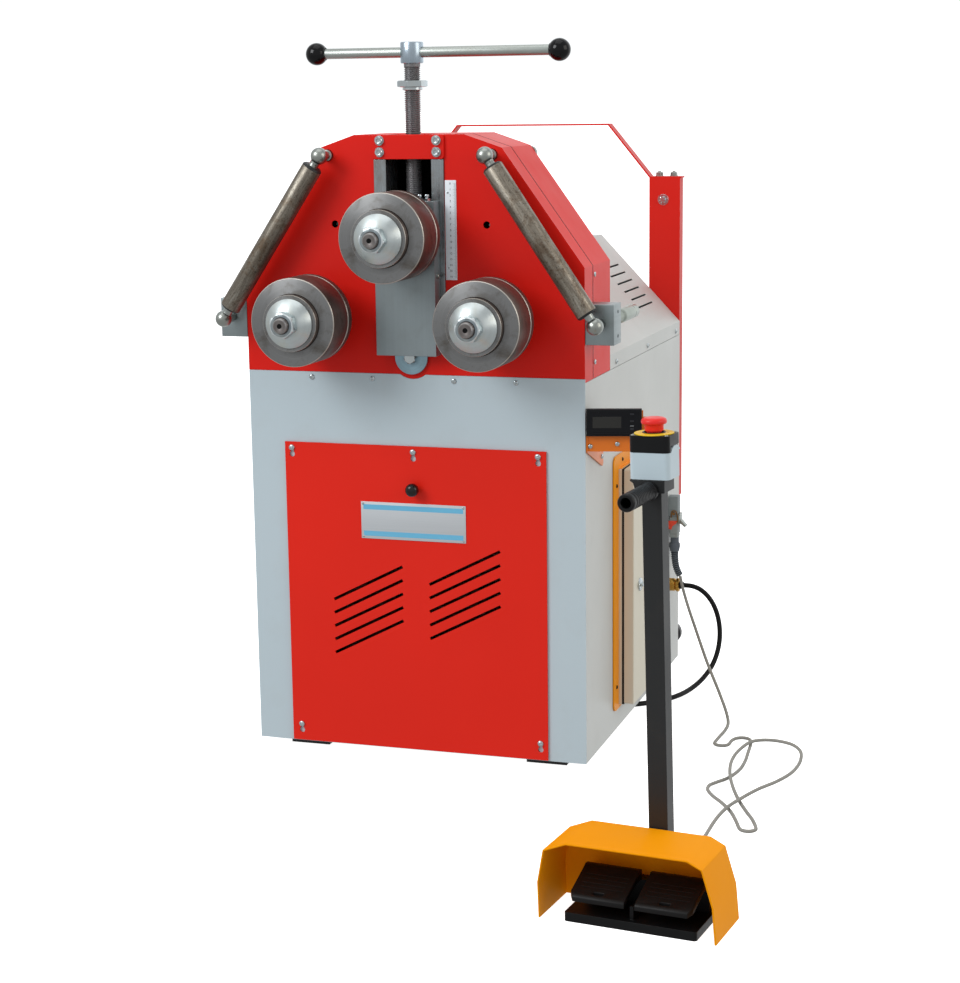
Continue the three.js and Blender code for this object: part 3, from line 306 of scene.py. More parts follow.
def turned_steel(name, rgb, stain, rough=0.36, metallic=0.85, groove=0.12, stain_amount=0.5, fine=1100.0, aniso=0.5, vary=0.08, spots=0.35):
    """Turned about the object's own Y axis: rings on the faces and round the sides."""
    c = srgb(*rgb)
    m = Mat(name, metallic=metallic, roughness=rough, aniso=aniso)
    m.b.inputs["Anisotropic Rotation"].default_value = 0.25
    tan = m.n.new("ShaderNodeTangent")
    tan.direction_type = "RADIAL"
    tan.axis = "Y"
    m.l.new(tan.outputs[0], m.b.inputs["Tangent"])
    sep = m.n.new("ShaderNodeSeparateXYZ")
    m.l.new(m.co.outputs["Object"], sep.inputs[0])
    x2 = m.math("MULTIPLY", sep.outputs[0], sep.outputs[0])
    z2 = m.math("MULTIPLY", sep.outputs[2], sep.outputs[2])
    r = m.math("SQRT", m.math("ADD", x2, z2))
    comb = m.n.new("ShaderNodeCombineXYZ")
    m.l.new(r, comb.inputs[0])
    m.l.new(sep.outputs[1], comb.inputs[1])
    rings = m.noise(fine, 2.0, 0.6, comb.outputs[0])
    broad = m.noise(170.0, 3.0, 0.6, comb.outputs[0])
    patches = m.noise(24.0, 7.0, 0.66, dist=0.5)
    speck = m.noise(120.0, 5.0, 0.7)
    col = m.blend(m.remap(rings, 0.0, 1.0), scale(c, 1 - vary), scale(c, 1 + vary))
    col = m.blend(m.remap(broad, 0.0, 0.3), col, scale(c, 0.78))
    col = m.blend(m.remap(patches, 0.0, stain_amount, 0.5, 0.72), col, srgb(*stain))
    col = m.blend(m.remap(speck, 0.0, spots, 0.6, 0.75), col, scale(srgb(*stain), 0.6))
    m.color(col)
    m.rough(m.math("ADD", m.remap(patches, rough - 0.03, rough + 0.12), m.remap(rings, -0.02, 0.03)))
    m.bump(rings, groove, 0.00006)
    return m.m


def ground_steel(name, rgb, rough=0.34, along="z", metallic=0.9, streak=0.12, stain=None, stain_amount=0.3, bump=0.03, lines_at=620):
    """Ground or drawn: fine lines along one axis of the object."""
    c = srgb(*rgb)
    m = Mat(name, metallic=metallic, roughness=rough, aniso=0.2)
    k = lines_at
    s = {"x": (5, k, k), "y": (k, 5, k), "z": (k, k, 5)}[along]
    lines = m.noise(1.0, 3.0, 0.6, m.coords(*s))
    s2 = {"x": (2, 130, 130), "y": (130, 2, 130), "z": (130, 130, 2)}[along]
    broad = m.noise(1.0, 3.0, 0.55, m.coords(*s2))
    col = m.blend(m.remap(lines, 0.0, 1.0), scale(c, 1 - streak), scale(c, 1 + streak))
    col = m.blend(m.remap(broad, 0.0, 0.5), col, scale(c, 1 - 1.4 * streak))
    if stain:
        col = m.blend(m.remap(m.noise(28.0, 6.0, 0.62, dist=0.4), 0.0, stain_amount, 0.5, 0.74), col, srgb(*stain))
    m.color(col)
    m.rough(m.math("ADD", m.remap(broad, rough - 0.04, rough + 0.07), m.remap(lines, -0.02, 0.03)))
    m.bump(lines, bump, 0.00006)
    return m.m


def zinc_plated(name, rgb=(196, 206, 212), rough=0.27, warm=(188, 186, 172), speck=0.16):
    c = srgb(*rgb)
    m = Mat(name, metallic=1.0, roughness=rough)
    soft = m.noise(26.0, 3.0, 0.5)
    col = m.blend(m.remap(soft, 0.0, 0.4), c, srgb(*warm))
    if speck:
        col = m.blend(m.remap(m.noise(150.0, 3.0), 0.0, speck), col, scale(c, 0.7))
    m.color(col)
    m.rough(m.remap(m.noise(60.0, 3.0), rough - 0.02, rough + 0.03))
    return m.m


def plastic(name, rgb, rough=0.45, grain=900.0, strength=0.08, coat=0.0, vary=0.06, spec=0.4):
    c = srgb(*rgb)
    m = Mat(name, roughness=rough, coat=coat, coat_rough=0.12, spec=spec)
    m.color(m.ramp(m.noise(14.0, 4.0), [(0.3, scale(c, 1 - vary)), (0.7, scale(c, 1 + vary))]))
    m.rough(m.remap(m.noise(40.0, 3.0), rough - 0.05, rough + 0.06))
    m.bump(m.noise(grain, 2.0), strength, 0.0002)
    return m.m


def mill_scale(name, tone=1.0, warm=1.0):
    """Raw tube: dark oxide skin, scuffed bright and brown along its length (its own Z)."""
    m = Mat(name, metallic=0.8, roughness=0.4)
    streaks = m.noise(1.0, 7.0, 0.7, m.coords(150, 150, 14), 0.6)
    patches = m.noise(30.0, 8.0, 0.72, dist=0.8)
    fine = m.noise(330.0, 5.0, 0.7)
    a, b, c, d = [scale(srgb(*v), tone) for v in ((92, 84, 74), (120, 112, 101), (138, 131, 120), (170, 165, 154))]
    col = m.ramp(streaks, [(0.3, a), (0.45, b), (0.58, c), (0.74, d)])
    col = m.blend(m.remap(patches, 0.0, 0.85, 0.5, 0.66), col, scale(srgb(92, 72, 52), tone * warm))
    col = m.blend(m.remap(fine, 0.0, 0.8, 0.54, 0.68), col, srgb(40, 34, 28))
    m.color(col)
    m.rough(m.remap(patches, 0.3, 0.55))
    m.bump(fine, 0.16, 0.0003, (patches, 0.12, 0.0006))
    return m.m


# a slightly darker copy of the red paint for the shield and top bar: painted shade
RED_SHIELD_SHADE_DARKENED = paint("red_shield_paint_shade_darkened", (230, 30, 20), rough=0.38, coat=0.03, spec=0.16)
RED_PANEL = paint("red_panel_paint", (236, 38, 22), rough=0.38, coat=0.03, spec=0.2)
RED_HOOP = paint("red_hoop_paint", (220, 34, 24), rough=0.38, coat=0.05, spec=0.2)
SEAM_RED = paint("seam_dark_red", (74, 16, 14), rough=0.6, coat=0.0)
# the cabinet front's copy of the grey paint carries a bluish tint: painted cool light on the front
GREY_FRONT_PAINTED_COOL_LIGHT = paint("cabinet_front_paint_painted_cool_light", (196, 210, 217), rough=0.38, vary=0.02, grime=((176, 178, 174), 0.12))
GREY_HOOD = paint("hood_paint", (205, 207, 204), rough=0.4, vary=0.02, grime=((176, 176, 170), 0.12))
ORANGE_SHEET = paint("orange_sheet_paint", (255, 158, 20), rough=0.4, coat=0.03, spec=0.16)
ORANGE_BRACKET = paint("orange_bracket_paint", (232, 120, 30), rough=0.32, coat=0.25)
ORANGE_GUARD = paint("orange_guard_paint", (255, 160, 6), rough=0.5, coat=0.0, vary=0.03, spec=0.05)
BEIGE = paint("beige_paint", (222, 215, 196), rough=0.45, coat=0.05, vary=0.03, peel=0.12)
BLACK_PAINT = paint("black_paint", (38, 39, 40), rough=0.4, coat=0.05, vary=0.12, grime=((58, 54, 50), 0.3))
DRIVE_PAINT = paint("drive_paint", (52, 70, 86), rough=0.5, coat=0.1, peel=0.3)
RIM_PAINT = paint("rim_paint", (222, 214, 194), rough=0.4, coat=0.1)

SLAB = ground_steel("slide_steel", (150, 160, 163), rough=0.42, along="z", metallic=0.75, streak=0.04, stain=(116, 116, 110), stain_amount=0.2)
RAIL = ground_steel("rail_steel", (164, 170, 173), rough=0.26, along="z", streak=0.14, stain=(120, 100, 74), stain_amount=0.5)
ROLL_FACE = turned_steel("roll_face_steel", (135, 135, 135), (84, 76, 66), rough=0.36, metallic=0.85, groove=0.05, stain_amount=0.7)
ROLL_SIDE = turned_steel("roll_side_steel", (118, 106, 100), (58, 46, 40), rough=0.36, metallic=0.85, groove=0.06, fine=900.0, stain_amount=0.7, spots=0.6)
# bright colour for the rolls' chamfers: partly edge wear, partly painted highlight
ROLL_EDGE_WEAR_AND_HIGHLIGHT = turned_steel("roll_edge_steel_wear_and_highlight", (206, 200, 192), (150, 140, 122), rough=0.4, metallic=0.9, groove=0.0, stain_amount=0.4)
CONE = turned_steel("cone_zinc", (214, 222, 222), (206, 200, 180), rough=0.34, metallic=1.0, groove=0.0, stain_amount=0.45, aniso=0.7, vary=0.02, spots=0.0)
SHAFT_END = turned_steel("shaft_end_steel", (132, 126, 124), (78, 66, 60), rough=0.34, metallic=0.95, fine=1000.0, stain_amount=0.35)
ZINC = zinc_plated("zinc_plate", (206, 216, 222), 0.22)
NUT_ZINC = zinc_plated("nut_zinc", (200, 212, 218), 0.3)
# the nut's front face and bore: a darker copy of the zinc, painted shade
NUT_FACE_PAINTED_SHADE = zinc_plated("nut_face_zinc_painted_shade", (146, 158, 166), 0.36)
# the nut's chamfers: a bright copy of the zinc, painted highlight
NUT_EDGE_PAINTED_HIGHLIGHT = zinc_plated("nut_edge_zinc_painted_highlight", (232, 240, 244), 0.4)
NOSE_EDGE = zinc_plated("nose_edge_steel", (150, 148, 150), 0.4)
ZINC_DULL = zinc_plated("zinc_dull", (176, 182, 180), 0.32, (150, 146, 128))
WASHER = turned_steel("washer_steel", (150, 178, 190), (110, 124, 130), rough=0.3, metallic=0.95, stain_amount=0.4)
SCREW_STEEL = zinc_plated("screw_steel", (150, 148, 150), 0.5, (128, 122, 120), 0.0)
BAR_STEEL = zinc_plated("bar_steel", (182, 188, 184), 0.42, (172, 174, 166), 0.0)
HUB_STEEL = ground_steel("hub_steel", (186, 200, 212), rough=0.26, along="z", metallic=1.0, streak=0.06, stain=(140, 146, 148), stain_amount=0.3)
PLATE_STEEL = ground_steel("plate_steel", (58, 54, 50), rough=0.55, along="x", metallic=0.5, streak=0.2, stain=(72, 52, 36), stain_amount=0.5)
BLOCK_STEEL = ground_steel("block_steel", (156, 166, 168), rough=0.36, along="y", metallic=0.85, streak=0.05, stain=(128, 132, 128), stain_amount=0.35)
GUIDE_STEEL = zinc_plated("guide_steel", (168, 176, 168), 0.3, (150, 154, 144))
ROD_STEEL = mill_scale("rod_steel", 1.3, 0.8)
ROD_STEEL_DARK = mill_scale("rod_steel_dark", 1.02, 1.1)
BRASS = ground_steel("brass", (206, 158, 74), rough=0.28, along="x", metallic=1.0, streak=0.05, stain=(130, 92, 36), stain_amount=0.5)
BRONZE = ground_steel("bronze", (150, 110, 60), rough=0.4, along="z", metallic=0.95, streak=0.15)
BALL_BLACK = plastic("ball_black", (6, 6, 8), rough=0.12, strength=0.01, coat=0.1, spec=0.25)
KNOB_BLACK = plastic("knob_black", (14, 10, 10), rough=0.2, strength=0.02, coat=0.2)
BOX_BLACK = plastic("box_black", (11, 12, 14), rough=0.34, strength=0.05, spec=0.25)
BOX_GREY = plastic("box_grey", (196, 212, 220), rough=0.42, strength=0.05, vary=0.02)
PEDAL_BLACK = plastic("pedal_black", (14, 12, 12), rough=0.46, grain=420.0, strength=0.3, vary=0.3, spec=0.25)
BASE_BLACK = plastic("base_black", (14, 14, 15), rough=0.4, grain=520.0, strength=0.2, vary=0.2, spec=0.22)
RUBBER = plastic("rubber_black", (14, 14, 16), rough=0.4, grain=420.0, strength=0.15, vary=0.2, spec=0.28)
GASKET = plastic("gasket_black", (34, 30, 28), rough=0.7, grain=300.0, strength=0.3)
STOP_RED = plastic("stop_red", (238, 34, 30), rough=0.36, strength=0.03, coat=0.1, vary=0.03)
YELLOW = plastic("disc_yellow", (236, 196, 32), rough=0.45, strength=0.03, vary=0.06)
CONNECTOR = plastic("connector_grey", (132, 140, 142), rough=0.5, strength=0.15, vary=0.08)
CONNECTOR_LIGHT = plastic("connector_light_grey", (146, 152, 150), rough=0.5, strength=0.12, vary=0.08)
CONNECTOR_DARK = plastic("connector_dark_grey", (92, 100, 108), rough=0.5, strength=0.2, vary=0.1)
TAG = plastic("tag_orange", (240, 78, 52), rough=0.5, strength=0.05)
# dark ring in the crease round the rolls' hub step: painted shade
STEP_PAINTED_SHADE = plastic("step_painted_shade", (44, 40, 37), rough=0.6, spec=0.1)
# darker grey for the strain relief's grooves: painted shade in the grooves
CONNECTOR_GROOVE_SHADE = plastic("connector_groove_painted_shade", (44, 48, 53), rough=0.6, strength=0.1, spec=0.15)
KNOB_GREY = plastic("knob_dark_grey", (66, 64, 66), rough=0.4, strength=0.1, vary=0.08)
CABLE_GREY = plastic("cable_grey", (156, 154, 148), rough=0.6, grain=700.0, strength=0.08, vary=0.08, spec=0.1)
CABLE_BLACK = plastic("cable_black", (18, 18, 19), rough=0.45, grain=600.0, strength=0.1, vary=0.15, spec=0.2)
LCD = plastic("lcd_window", (30, 29, 25), rough=0.12, strength=0.01, coat=0.3)
BEZEL = plastic("bezel_black", (12, 13, 18), rough=0.3, strength=0.02, spec=0.25)
BUTTON_GREY = plastic("button_grey", (40, 41, 46), rough=0.35, strength=0.05)
WHITE_PLATE = ground_steel("rule_plate", (240, 246, 252), rough=0.45, along="z", metallic=0.0, streak=0.01)
INK = plastic("ink_black", (30, 30, 36), rough=0.5, strength=0.05)
BLUE_BAND = plastic("blue_band", (112, 190, 226), rough=0.4, strength=0.05, vary=0.03)
NAME_PLATE = ground_steel("name_plate", (214, 218, 222), rough=0.36, along="x", metallic=0.5, streak=0.03)
# black for holes and hollows that are only in shade: painted shade
HOLE_PAINTED_SHADE = plastic("hole_painted_shade", (6, 6, 6), rough=0.8, strength=0.1, spec=0.2)
RUST_PIN = ground_steel("rusty_pin", (150, 112, 70), rough=0.45, along="y", metallic=0.8, streak=0.1, stain=(96, 58, 30), stain_amount=0.7)


# ------------------------------------------------------------------ mesh makers (millimetres)
def lathe(profile, seg=72, mats=None):
    """Rings about the local Z axis. Each entry is (r, t), (half the flats, t, "h") or (half the flats, t, "m", round limit)."""
    bm = bmesh.new()
    loops = []
    for p in profile:
        r, t = p[0], p[1]
        kind = p[2] if len(p) > 2 else "c"
        if r <= 1e-9:
            loops.append([bm.verts.new((0, 0, t))])
            continue
        ring = []
        for i in range(seg):
            a = 2 * math.pi * i / seg
            rr = r
            if kind in ("h", "m"):
                rr = r / math.cos((a % (math.pi / 3)) - math.pi / 6)
                if kind == "m":
                    rr = min(rr, p[3])
            ring.append(bm.verts.new((rr * math.cos(a), rr * math.sin(a), t)))
        loops.append(ring)
    for k, (a, b) in enumerate(zip(loops, loops[1:])):
        mi = mats[k] if mats else 0
        if len(a) == 1 and len(b) == 1:
            continue
        for i in range(seg):
            j = (i + 1) % seg
            if len(a) == 1:
                f = bm.faces.new((a[0], b[j], b[i]))
            elif len(b) == 1:
                f = bm.faces.new((a[i], a[j], b[0]))
            else:
                f = bm.faces.new((a[i], a[j], b[j], b[i]))
            f.material_index = mi
    if len(loops[0]) > 1 and len(loops[-1]) > 1:  # a ring-shaped body closes on itself
        a, b = loops[-1], loops[0]
        for i in range(seg):
            j = (i + 1) % seg
            f = bm.faces.new((a[i], a[j], b[j], b[i]))
            f.material_index = mats[-1] if mats else 0
    bmesh.ops.recalc_face_normals(bm, faces=bm.faces)
    return bm


def thread(r, depth, pitch, t0, t1, seg=40, per=6, hand=1):
    """A threaded bar about Z."""
    bm = bmesh.new()
    n = max(2, int(round((t1 - t0) / pitch * per)))
    loops = []
    for k in range(n + 1):
        t = t0 + (t1 - t0) * k / n
        ring = []
        for i in range(seg):
            a = 2 * math.pi * i / seg
            u = (t / pitch - hand * a / (2 * math.pi)) % 1.0
            w = abs(u - 0.5) * 2
            w = min(max((w - 0.12) / 0.76, 0.0), 1.0)
            rr = r - depth * w
            ring.append(bm.verts.new((rr * math.cos(a), rr * math.sin(a), t)))
        loops.append(ring)
    for a, b in zip(loops, loops[1:]):
        for i in range(seg):
            j = (i + 1) % seg
            bm.faces.new((a[i], a[j], b[j], b[i]))
    bm.faces.new(loops[0][::-1])
    bm.faces.new(loops[-1])
    bmesh.ops.recalc_face_normals(bm, faces=bm.faces)
    return bm


def bevel(bm, width, segments=3, angle=25.0):
    edges = [e for e in bm.edges if len(e.link_faces) == 2 and e.calc_face_angle(0) > math.radians(angle)]
    if edges and width > 0:
        bmesh.ops.bevel(bm, geom=edges, offset=width, offset_type="OFFSET", segments=segments, profile=0.5, affect="EDGES", clamp_overlap=True)
    return bm


def box(x0, x1, y0, y1, z0, z1, r=0.0, seg=3):
    bm = bmesh.new()
    bmesh.ops.create_cube(bm, size=1.0)
    for v in bm.verts:
        v.co = Vector(((x0 + x1) / 2 + v.co.x * (x1 - x0), (y0 + y1) / 2 + v.co.y * (y1 - y0), (z0 + z1) / 2 + v.co.z * (z1 - z0)))
    return bevel(bm, r, seg)


def prism(points, d0, d1, plane="xz", r=0.0, seg=3):
    """An outline carried from d0 to d1 across its plane."""
    bm = bmesh.new()

    def at(p, d):
        if plane == "xz":
            return (p[0], d, p[1])
        if plane == "yz":
            return (d, p[0], p[1])
        return (p[0], p[1], d)

    a = [bm.verts.new(at(p, d0)) for p in points]
    b = [bm.verts.new(at(p, d1)) for p in points]
    n = len(points)
    bm.faces.new(a)
    bm.faces.new(b[::-1])
    for i in range(n):
        j = (i + 1) % n
        bm.faces.new((a[i], b[i], b[j], a[j]))
    bmesh.ops.recalc_face_normals(bm, faces=bm.faces)
    return bevel(bm, r, seg)


def ball(r, seg=48, rings=32):
    bm = bmesh.new()
    bmesh.ops.create_uvsphere(bm, u_segments=seg, v_segments=rings, radius=r)
    return bm


def move(bm, m):
    bm.transform(m)
    if m.determinant() < 0:
        bmesh.ops.reverse_faces(bm, faces=bm.faces)
    return bm


def at(x, y, z):
    return Matrix.Translation((x, y, z))


def facing(x, y, z, d):
    """Local Z turned to the direction d, at the point."""
    q = Vector((0, 0, 1)).rotation_difference(Vector(d).normalized())
    return Matrix.Translation((x, y, z)) @ q.to_matrix().to_4x4()


def together(*parts):
    out = bmesh.new()
    for p in parts:
        me = bpy.data.meshes.new("part")
        p.to_mesh(me)
        out.from_mesh(me)
        bpy.data.meshes.remove(me)
        p.free()
    return out


def carve(bm, *cutters):
    """bm less the cutters."""
    me = bpy.data.meshes.new("whole")
    bm.to_mesh(me)
    bm.free()
    ob = bpy.data.objects.new("whole", me)
    bpy.context.scene.collection.objects.link(ob)
    junk = [ob]
    for c in cutters:
        mc = bpy.data.meshes.new("cutter")
        c.to_mesh(mc)
        c.free()
        oc = bpy.data.objects.new("cutter", mc)
        bpy.context.scene.collection.objects.link(oc)
        junk.append(oc)
        md = ob.modifiers.new("cut", "BOOLEAN")
        md.operation = "DIFFERENCE"
        md.solver = "EXACT"
        md.object = oc
    dg = bpy.context.evaluated_depsgraph_get()
    res = bpy.data.meshes.new_from_object(ob.evaluated_get(dg))
    out = bmesh.new()
    out.from_mesh(res)
    bpy.data.meshes.remove(res)
    for o in junk:
        m = o.data
        bpy.data.objects.remove(o)
        bpy.data.meshes.remove(m)
    return out


def piece(name, bm, mats, body, m=MM, origin=None, turn=None, smooth=32.0, replaces=()):
    """Adds a mesh made in millimetres. origin is the object's own origin in those millimetres, and turn its own rotation."""
    base = Matrix.Identity(4)
    if origin is not None:
        base = Matrix.Translation(origin)
    if turn is not None:
        base = base @ turn
    place = (m @ base).normalized()
    bm.transform(place.inverted() @ m)
    me = bpy.data.meshes.new(name)
    bm.to_mesh(me)
    bm.free()
    for x in mats if isinstance(mats, (list, tuple)) else [mats]:
        me.materials.append(x)
    me.shade_smooth()
    me.set_sharp_from_angle(angle=math.radians(smooth))
    ob = bpy.data.objects.new(name, me)
    bpy.context.scene.collection.objects.link(ob)
    ob.matrix_world = place
    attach(ob, body)
    if replaces:
        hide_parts(*replaces)
    return ob


def dress(node, material, width=0.8, segments=2, angle=28.0, smooth=True):
    """Gives a CAD node its finish and small rounded edges."""
    ob = NODES[node]
    me = ob.data
    for a in ("custom_normal",):
        if a in me.attributes:
            me.attributes.remove(me.attributes[a])
    me.materials.clear()
    me.materials.append(material)
    for p in me.polygons:
        p.material_index = 0
    w = ob.modifiers.new("weld", "WELD")
    w.merge_threshold = 1e-6
    d = ob.modifiers.new("flat", "DECIMATE")
    d.decimate_type = "DISSOLVE"
    d.angle_limit = math.radians(0.6)
    if width > 0:
        b = ob.modifiers.new("edges", "BEVEL")
        b.width = width / 1000.0
        b.segments = segments
        b.limit_method = "ANGLE"
        b.angle_limit = math.radians(angle)
        b.use_clamp_overlap = True
        b.harden_normals = False
    me.shade_smooth()
    n = ob.modifiers.new("normals", "WEIGHTED_NORMAL")
    n.keep_sharp = True
    n.weight = 80
    return ob


# ------------------------------------------------------------------ fasteners (local Z points out of the surface)
def cap_screw(r=8.0, h=4.0, socket=3.0):
    return lathe([(0, -1.0), (r, -1.0), (r, h - 1.0), (r - 0.9, h), (socket + 0.6, h), (socket, h - 0.3, "h"), (socket, h - 2.6, "h"), (0, h - 2.9)], 48)


def pan_screw(r=5.2, h=3.0):
    head = lathe([(0, -0.8), (r, -0.8), (r, 0.3), (r * 0.93, h * 0.55), (r * 0.74, h * 0.85), (r * 0.42, h), (0, h * 1.02)], 40)
    a = box(-r * 0.55, r * 0.55, -0.55, 0.55, h * 0.35, h * 2)
    b = box(-0.55, 0.55, -r * 0.55, r * 0.55, h * 0.35, h * 2)
    return carve(head, a, b)


def hex_bolt(af=10.0, h=4.5, washer=7.5):
    parts = []
    if washer:
        parts.append(lathe([(0, -0.6), (washer, -0.6), (washer, 1.2), (washer - 0.4, 1.5), (0, 1.5)], 48))
    rc = af / 2 * 1.09
    parts.append(lathe([(0, 1.2), (af / 2, 1.2, "h"), (af / 2, h - 0.7, "m", rc * 1.06), (af / 2 * 0.93, h, "m", af / 2 * 0.93), (0, h)], 72))
    return together(*parts)


def rivet(r=2.2, h=1.0):
    return lathe([(0, -0.4), (r, -0.4), (r, 0.2), (r * 0.8, h * 0.75), (r * 0.4, h), (0, h * 1.03)], 28)


def fix(name, maker, x, y, z, d, mat, body, m=MM, spin=0.0):
    t = facing(x, y, z, d) @ Matrix.Rotation(math.radians(spin), 4, "Z")
    return piece(name, move(maker, t), mat, body, m=m, origin=(x, y, z))


# ------------------------------------------------------------------ cords in the scene
control, control_len, control_pts = make_cord("control_cord", CONTROL_ROUTE, 0.0062)
control.data.materials.append(CABLE_GREY)
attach(control, "machine")
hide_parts("control_cable")

mains, mains_len, mains_pts = make_cord("mains_cord", MAINS_ROUTE + coil_points(), 0.010)
mains.data.materials.append(CABLE_BLACK)
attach(mains, "machine")
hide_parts("power_cable", "power_coil")


def make_plug():
    """A round industrial plug lying on the floor beside the coil, its axis along -X."""
    cx, cy, cz = 52.0, 930.0, 8.1
    body = lathe([(5.2, 50.4), (6.8, 50.6), (7.4, 56), (8.6, 62), (15, 64.5), (15.4, 66), (15.4, 79), (17, 81), (25.0, 89), (25.4, 91), (25.4, 120),
                  (24.6, 121), (24.6, 124), (25.4, 125), (25.4, 149), (24.4, 151), (22.6, 153), (22.6, 160), (21.0, 160), (21.0, 156), (0, 156)] [1:], 64)
    # ribs for the fingers
    ribs = []
    for k in range(18):
        a = 2 * math.pi * k / 18
        b = box(24.2, 26.2, -1.1, 1.1, 95, 117, 0.5, 2)
        ribs.append(move(b, Matrix.Rotation(a, 4, "Z")))
    body = together(body, *ribs)
    t = at(cx, cy, cz) @ Matrix.Rotation(math.radians(-90), 4, "Y")
    p = piece("mains_plug", move(body, t), PLUG_BLACK, "machine", origin=(cx - 105, cy, cz), replaces=("power_plug",))
    pins = []
    for k in range(5):
        a = k * 2 * math.pi / 5 + 0.3
        b = lathe([(0, 154), (2.5, 154), (2.5, 180.4), (1.6, 182), (0, 182)], 20)
        pins.append(move(b, t @ at(-12 * math.sin(a), 12 * math.cos(a), 0)))
    q = piece("mains_plug_pins", together(*pins), ZINC, "machine", origin=(cx - 165, cy, cz))
    return p, q


PLUG_BLACK = plastic("plug_black", (40, 42, 46), rough=0.45, strength=0.15)
plug, plug_pins = make_plug()

# ------------------------------------------------------------------ carried-over nodes
dress("cabinet_body", GREY_HOOD, 1.0)
dress("cabinet_front", GREY_FRONT_PAINTED_COOL_LIGHT, 0.9)
dress("cabinet_base", BLACK_PAINT, 0.8)
dress("access_panel", RED_PANEL, 0.6)
dress("shield_front", RED_SHIELD_SHADE_DARKENED, 0.9)
dress("shield_rear", RED_SHIELD_SHADE_DARKENED, 0.9)
dress("rear_hood", GREY_HOOD, 1.0)
dress("main_frame", PLATE_STEEL, 0.8)
dress("slide_rail_left", RAIL, 0.6)
dress("slide_rail_right", RAIL, 0.6)
dress("top_bar", RED_SHIELD_SHADE_DARKENED, 0.9)
dress("feed_nut", BRONZE, 0.8)
dress("slide_block", SLAB, 0.8)
for side in ("upper", "left", "right"):
    dress(side + "_shaft", SHAFT_END, 0.5)
dress("drive_shaft", SHAFT_END, 0.4)
dress("gear_motor", DRIVE_PAINT, 3.0, 3)
dress("rear_hoop", RED_HOOP, 0.9)
dress("display_bracket", ORANGE_BRACKET, 0.6)
dress("display_unit", BEZEL, 0.8)
dress("enclosure_body", ORANGE_SHEET, 0.6)
dress("enclosure_door", BEIGE, 2.4, 3)
dress("pedal_base", BASE_BLACK, 1.6, 3)
dress("pedal_guard", ORANGE_GUARD, 0.9, 3)
dress("stand_post", BLACK_PAINT, 1.6, 3)
dress("control_box_lower", BOX_GREY, 1.6, 3)
dress("control_box_upper", BOX_BLACK, 1.6, 3)

# ------------------------------------------------------------------ rolls
ROLLS = {"upper": (0.0, 939.0), "left": (-165.0, 794.0), "right": (165.0, 794.0)}
Y_AXIS = Matrix.Rotation(math.radians(-90), 4, "X")  # local Z to machine Y


def make_roll(tag, x, z, spin):
    t = at(x, 0, z) @ Y_AXIS
    body = "roll_" + tag
    # wide ring: bore, hub face, step, face, chamfer, side, chamfer
    # the chamfers take the bright edge material: partly edge wear, partly painted highlight
    prof = [
        (25.35, -160.0), (44.0, -160.0), (48.3, -159.9), (49.0, -159.0), (49.0, -147.9), (49.3, -147.2), (50.2, -147.0), (74.9, -147.0),
        (75.2, -146.9), (76.4, -145.7), (76.6, -145.3), (76.6, -81.6), (76.2, -80.4), (74.8, -79.2), (74.0, -79.05), (25.35, -79.05),
    ]
    # material 3, the dark ring in the crease round the hub step, is painted shade
    mats = [0, 0, 2, 1, 3, 3, 0, 0, 2, 2, 1, 2, 2, 0, 0, 0]
    piece(tag + "_roll_ring", move(lathe(prof, 144, mats), t), [ROLL_FACE, ROLL_SIDE, ROLL_EDGE_WEAR_AND_HIGHLIGHT, STEP_PAINTED_SHADE], body, origin=(x, 0, z), smooth=40, replaces=(tag + "_roll",))
    prof = [
        (25.35, -78.75), (74.0, -78.75), (75.0, -78.6), (76.3, -77.4), (76.6, -76.6), (76.6, -62.4), (76.2, -61.2), (74.8, -60.1), (74.0, -60.0), (25.35, -60.0),
    ]
    mats = [0, 2, 2, 2, 1, 2, 2, 0, 0, 0]
    piece(tag + "_roll_ring_rear", move(lathe(prof, 144, mats), t), [ROLL_FACE, ROLL_SIDE, ROLL_EDGE_WEAR_AND_HIGHLIGHT], body, origin=(x, 0, z), smooth=40, replaces=(tag + "_roll_rear",))
    # cone washer with a rolled edge, and the nut, whose chamfers carry a painted highlight and whose front face and
    # bore carry painted shade
    cone = lathe([(13.9, -160.3), (41.6, -160.3), (42.3, -160.9), (42.3, -163.2), (41.8, -164.0), (24.4, -176.4), (22.6, -177.0), (13.9, -177.0)], 120)
    nut = lathe([(13.9, -176.6), (19.4, -176.6), (20.5, -177.6, "m", 22.0), (20.5, -178.6, "m", 23.2), (20.5, -193.6, "m", 23.2), (20.5, -195.0, "m", 21.6), (19.3, -196.0), (14.9, -196.0), (13.9, -195.0)], 144,
        [0, 0, 0, 0, 2, 2, 1, 1, 1])
    nut.transform(Matrix.Rotation(math.radians(spin), 4, "Z"))
    piece(tag + "_roll_cone", move(cone, t), CONE, body, origin=(x, -170, z), smooth=28)
    piece(tag + "_roll_nut", move(nut, t), [NUT_ZINC, NUT_FACE_PAINTED_SHADE, NUT_EDGE_PAINTED_HIGHLIGHT], body, origin=(x, 0, z), smooth=28, replaces=(tag + "_nut",))
    # threaded nose with a centre hole; the hole is a nearly flush disc and chamfer in the black hole material, painted
    # shade
    nose = lathe([(0, -203.06), (3.7, -203.06), (3.7, -203.3), (4.3, -203.5), (10.8, -203.5), (13.0, -201.6), (13.0, -200.6)], 72, [1, 1, 1, 0, 2, 0, 0])
    th = thread(13.62, 1.0, 2.0, -200.6, -178.0, 56, 6)
    piece(tag + "_shaft_nose", move(together(nose, th), t), [SHAFT_END, HOLE_PAINTED_SHADE, NOSE_EDGE], body, origin=(x, 0, z), smooth=35)


